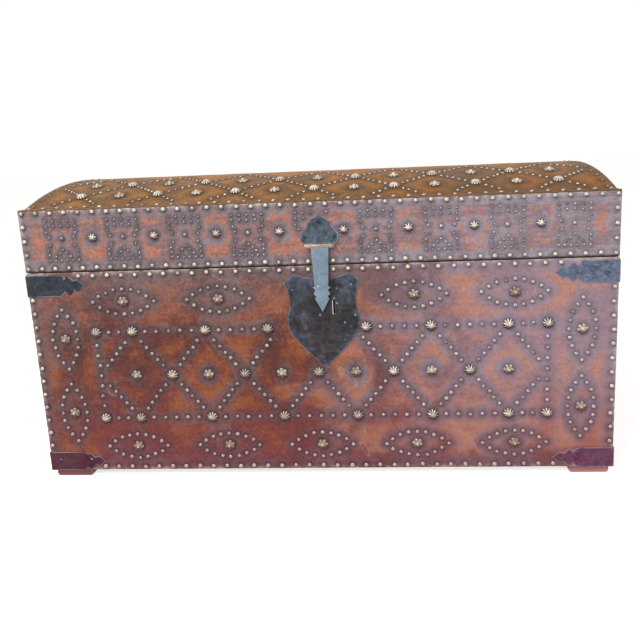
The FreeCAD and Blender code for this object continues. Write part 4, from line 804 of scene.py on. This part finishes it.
nail = turnHead("nailHead", nailHead)
star = turnHead("starHead", starHead)
smallStar = turnHead("smallStarHead", smallStarHead)
flower = turnHead("flowerHead", flowerHead)
melon = turnHead("melonHead", melonHead)
studWidth = driven["studWidths"][0]
for node, body in (("front_nails", "chest_body"), ("lid_front_nails", "lid"), ("lid_top_nails", "lid"),
                   ("body_side_nails", "chest_body"), ("lid_side_nails", "lid")):
    groups = []
    for face in nailFaces[node]:
        groups.append((nail, face, [s for s in spots[node][face] if s[2] < studWidth]))
        groups.append((flower, face, [s for s in spots[node][face] if s[2] >= studWidth]))
    driveHeads(node, body, groups, "nailBrass", False)
for node, body, head, face in (
    ("front_star_studs", "chest_body", star, "front"),
    ("front_flower_studs", "chest_body", flower, "front"),
    ("lid_front_star_studs", "lid", smallStar, "front"),
    ("lid_top_melon_studs", "lid", melon, "dome"),
    ("lid_top_flower_studs", "lid", flower, "dome"),
):
    driveHeads(node, body, [(head, face, spots[node][face])], "studBrass", True)
print("nails and studs driven")


# iron and wood keep the frame's shapes, with their edges eased and marked as rubbed
easing = {
    "sharp": 35, "iron": 0.0004, "wood": 0.0014, "steps": 2, "smooth": 30, "weld": 1e-6, "flat": 1,
    "rim": 0.0013, "rimShare": 0.6, "broadShare": 0.3, "along": 0.9999, "level": 1e-5,
}
# the lock plate's rim is narrower, and round the keyhole only the slit's left lip is marked, for a painted
# highlight
keyhole = {"half": 0.006, "rise": 0.006, "drop": 0.033, "rim": 0.001, "slitTop": -0.007, "lip": 2.0}


def rimMark(node, place):
    right, up = place.x - keyX, place.z - keyZ
    if node != "lock_plate" or abs(right) >= keyhole["half"] or not -keyhole["drop"] < up < keyhole["rise"]:
        return easing["rimShare"]
    return keyhole["lip"] if right < 0 and up < keyhole["slitTop"] else 0.0


def markRims(bm, rubbed, node):
    broad = max(face.calc_area() for face in bm.faces) * easing["broadShare"]
    wide = [(face.normal.copy(), face.calc_center_median()) for face in bm.faces if face.calc_area() > broad]
    flats = [face for face in bm.faces if not face[rubbed] and any(
        normal.dot(face.normal) > easing["along"]
        and abs(normal.dot(face.calc_center_median() - middle)) < easing["level"]
        for normal, middle in wide)]
    thick = keyhole["rim"] if node == "lock_plate" else easing["rim"]
    made = bmesh.ops.inset_region(bm, faces=flats, thickness=thick, use_boundary=True, use_even_offset=True)
    for face in made["faces"]:
        face[rubbed] = rimMark(node, face.calc_center_median())


def easeEdges(node, finish, width):
    bm = bmesh.new()
    bm.from_mesh(frame["nodes"][node].data)
    bmesh.ops.remove_doubles(bm, verts=bm.verts[:], dist=easing["weld"])
    bmesh.ops.dissolve_limit(bm, angle_limit=math.radians(easing["flat"]),
                             verts=bm.verts[:], edges=bm.edges[:])
    rubbed = bm.faces.layers.float.new("edge")
    if width:
        limit = math.radians(easing["sharp"])
        sharp = [e for e in bm.edges if len(e.link_faces) == 2 and e.calc_face_angle() > limit]
        made = bmesh.ops.bevel(bm, geom=sharp, offset=width, offset_type="OFFSET", segments=easing["steps"],
                               profile=0.5, affect="EDGES", clamp_overlap=False, material=-1)
        for face in made["faces"]:
            face[rubbed] = 1.0
    if node.endswith("plate"):
        markRims(bm, rubbed, node)
    mesh = newMesh(pieceName(node), bm)
    mesh.shade_smooth()
    mesh.set_sharp_from_angle(angle=math.radians(easing["smooth"]))
    addPiece(mesh, nodeBodies[node], finish, node)


woods = {
    "boardWood": ["front_board", "back_board", "bottom_planks",
                  "lid_front_rail", "lid_back_rail", "lid_staves"],
    "endWood": ["left_end_board", "right_end_board", "lid_left_end", "lid_right_end"],
    "footWood": ["front_left_foot", "front_right_foot", "back_left_foot", "back_right_foot"],
}
corners = [f"{tier}_{row}_{hand}_corner_plate" for tier in ("upper", "lower")
           for row in ("front", "back") for hand in ("left", "right")]
irons = {
    "cornerIron": ("corner_iron", corners + ["body_iron_nails", "lid_iron_nails"]),
    "shieldIron": ("lock_iron", ["lock_plate", "lock_bolt"]),
    "studBrass": ("stud_brass", ["key_pin"]),
    "haspIron": ("worn_iron", ["hasp_plate", "hasp_pin"]),
    "strapIron": ("worn_iron", ["hasp_strap", "hasp_staple", "lock_case"]),
    "blackIron": ("black_iron", [
        "left_hinge_body_leaf", "right_hinge_body_leaf", "left_hinge_lid_leaf", "right_hinge_lid_leaf",
        "hinge_pins", "left_handle_plate", "right_handle_plate", "left_handle_bail", "right_handle_bail",
    ]),
}
nodeBodies = {node: body for body, nodes in frame["record"]["behaviour"]["bodies"].items() for node in nodes}
for finish, nodes in woods.items():
    for node in nodes:
        easeEdges(node, finish, easing["wood"])
for finish, (slot, nodes) in irons.items():
    for node in nodes:
        easeEdges(node, finish, 0 if "nails" in node else easing["iron"])
print("iron and wood dressed")


# a plain pale floor and a soft sky, both shown as plain white
studio = {
    "floorHalf": 30.0, "floorTone": tone(236, 235, 233), "floorPale": tone(242, 241, 239), "floorCloud": 3,
    "floorRough": 0.9, "floorGloss": 0.1, "lift": 0.7, "sky": 0.3, "aim": (0, 0, 0.3),
}
shownRays = ("Is Camera Ray", "Is Glossy Ray", "Is Transmission Ray")
floorBm = bmesh.new()
bmesh.ops.create_grid(floorBm, x_segments=1, y_segments=1, size=studio["floorHalf"])
floorMesh = newMesh("floor", floorBm)
floor = bpy.data.objects.new("floor", floorMesh)
bpy.context.scene.collection.objects.link(floor)
paper = Finish("floorPaper")
rays = paper.add("LightPath").outputs
lift = paper.times(paper.most(*(rays[kind] for kind in shownRays)), studio["lift"])
paper.fill(paper.shader.inputs["Emission Color"], tone(255, 255, 255))
paper.fill(paper.shader.inputs["Emission Strength"], lift)
paperTone = paper.mix(paper.cloud(studio["floorCloud"], detail=3), studio["floorTone"], studio["floorPale"])
floorFinish = paper.done(colour=paperTone, rough=studio["floorRough"], gloss=studio["floorGloss"])
floorMesh.materials.append(floorFinish)

world = bpy.data.worlds.new("studio")
bpy.context.scene.world = world
world.use_nodes = True
sky = world.node_tree
glow = sky.nodes["Background"]
glow.inputs["Color"].default_value = (1, 1, 1, 1)
ray = sky.nodes.new("ShaderNodeLightPath")
strength = None
for kind in shownRays:
    either = sky.nodes.new("ShaderNodeMath")
    either.operation = "MAXIMUM"
    either.inputs[1].default_value = studio["sky"]
    sky.links.new(ray.outputs[kind], either.inputs[0])
    if strength:
        sky.links.new(strength, either.inputs[1])
    strength = either.outputs[0]
sky.links.new(strength, glow.inputs["Strength"])

lamps = {
    "upperLeft": {"place": (-1.1, -1.7, 2.3), "width": 1.2, "power": 80},
    "right": {"place": (2.2, -2.2, 1.2), "width": 1.8, "power": 20},
}
for name, look in lamps.items():
    light = bpy.data.lights.new(name, "AREA")
    light.size = look["width"]
    light.energy = look["power"]
    lamp = bpy.data.objects.new(name, light)
    lamp.location = look["place"]
    lamp.rotation_mode = "QUATERNION"
    lamp.rotation_quaternion = (Vector(studio["aim"]) - lamp.location).to_track_quat("-Z", "Y")
    bpy.context.scene.collection.objects.link(lamp)

# camera at the photograph's own place; focal length and middle in pixels of its frame
shot = {
    "place": (0.145, -1.213, 0.614), "pitch": 9.06, "yaw": -3.39, "roll": 2.32,
    "focal": 540, "middle": (360, 243), "frame": 640, "sensor": 36, "nearest": 0.05,
}
pitch, yaw, roll = (math.radians(shot[key]) for key in ("pitch", "yaw", "roll"))
ahead = Vector((math.sin(yaw) * math.cos(pitch), math.cos(yaw) * math.cos(pitch), -math.sin(pitch)))
right = Vector((math.cos(yaw), -math.sin(yaw), 0))
down = ahead.cross(right)
tilted = right * math.cos(roll) + down * math.sin(roll)
lower = down * math.cos(roll) - right * math.sin(roll)
lens = bpy.data.cameras.new("camera")
lens.sensor_width = shot["sensor"]
lens.lens = shot["focal"] / shot["frame"] * shot["sensor"]
lens.shift_x = 0.5 - shot["middle"][0] / shot["frame"]
lens.shift_y = shot["middle"][1] / shot["frame"] - 0.5
lens.clip_start = shot["nearest"]
camera = bpy.data.objects.new("camera", lens)
turned = Matrix((tilted, -lower, -ahead)).transposed().to_4x4()
camera.matrix_world = Matrix.Translation(shot["place"]) @ turned
bpy.context.scene.collection.objects.link(camera)
bpy.context.scene.camera = camera
bpy.context.scene.view_settings.view_transform = "Standard"
print("studio set")
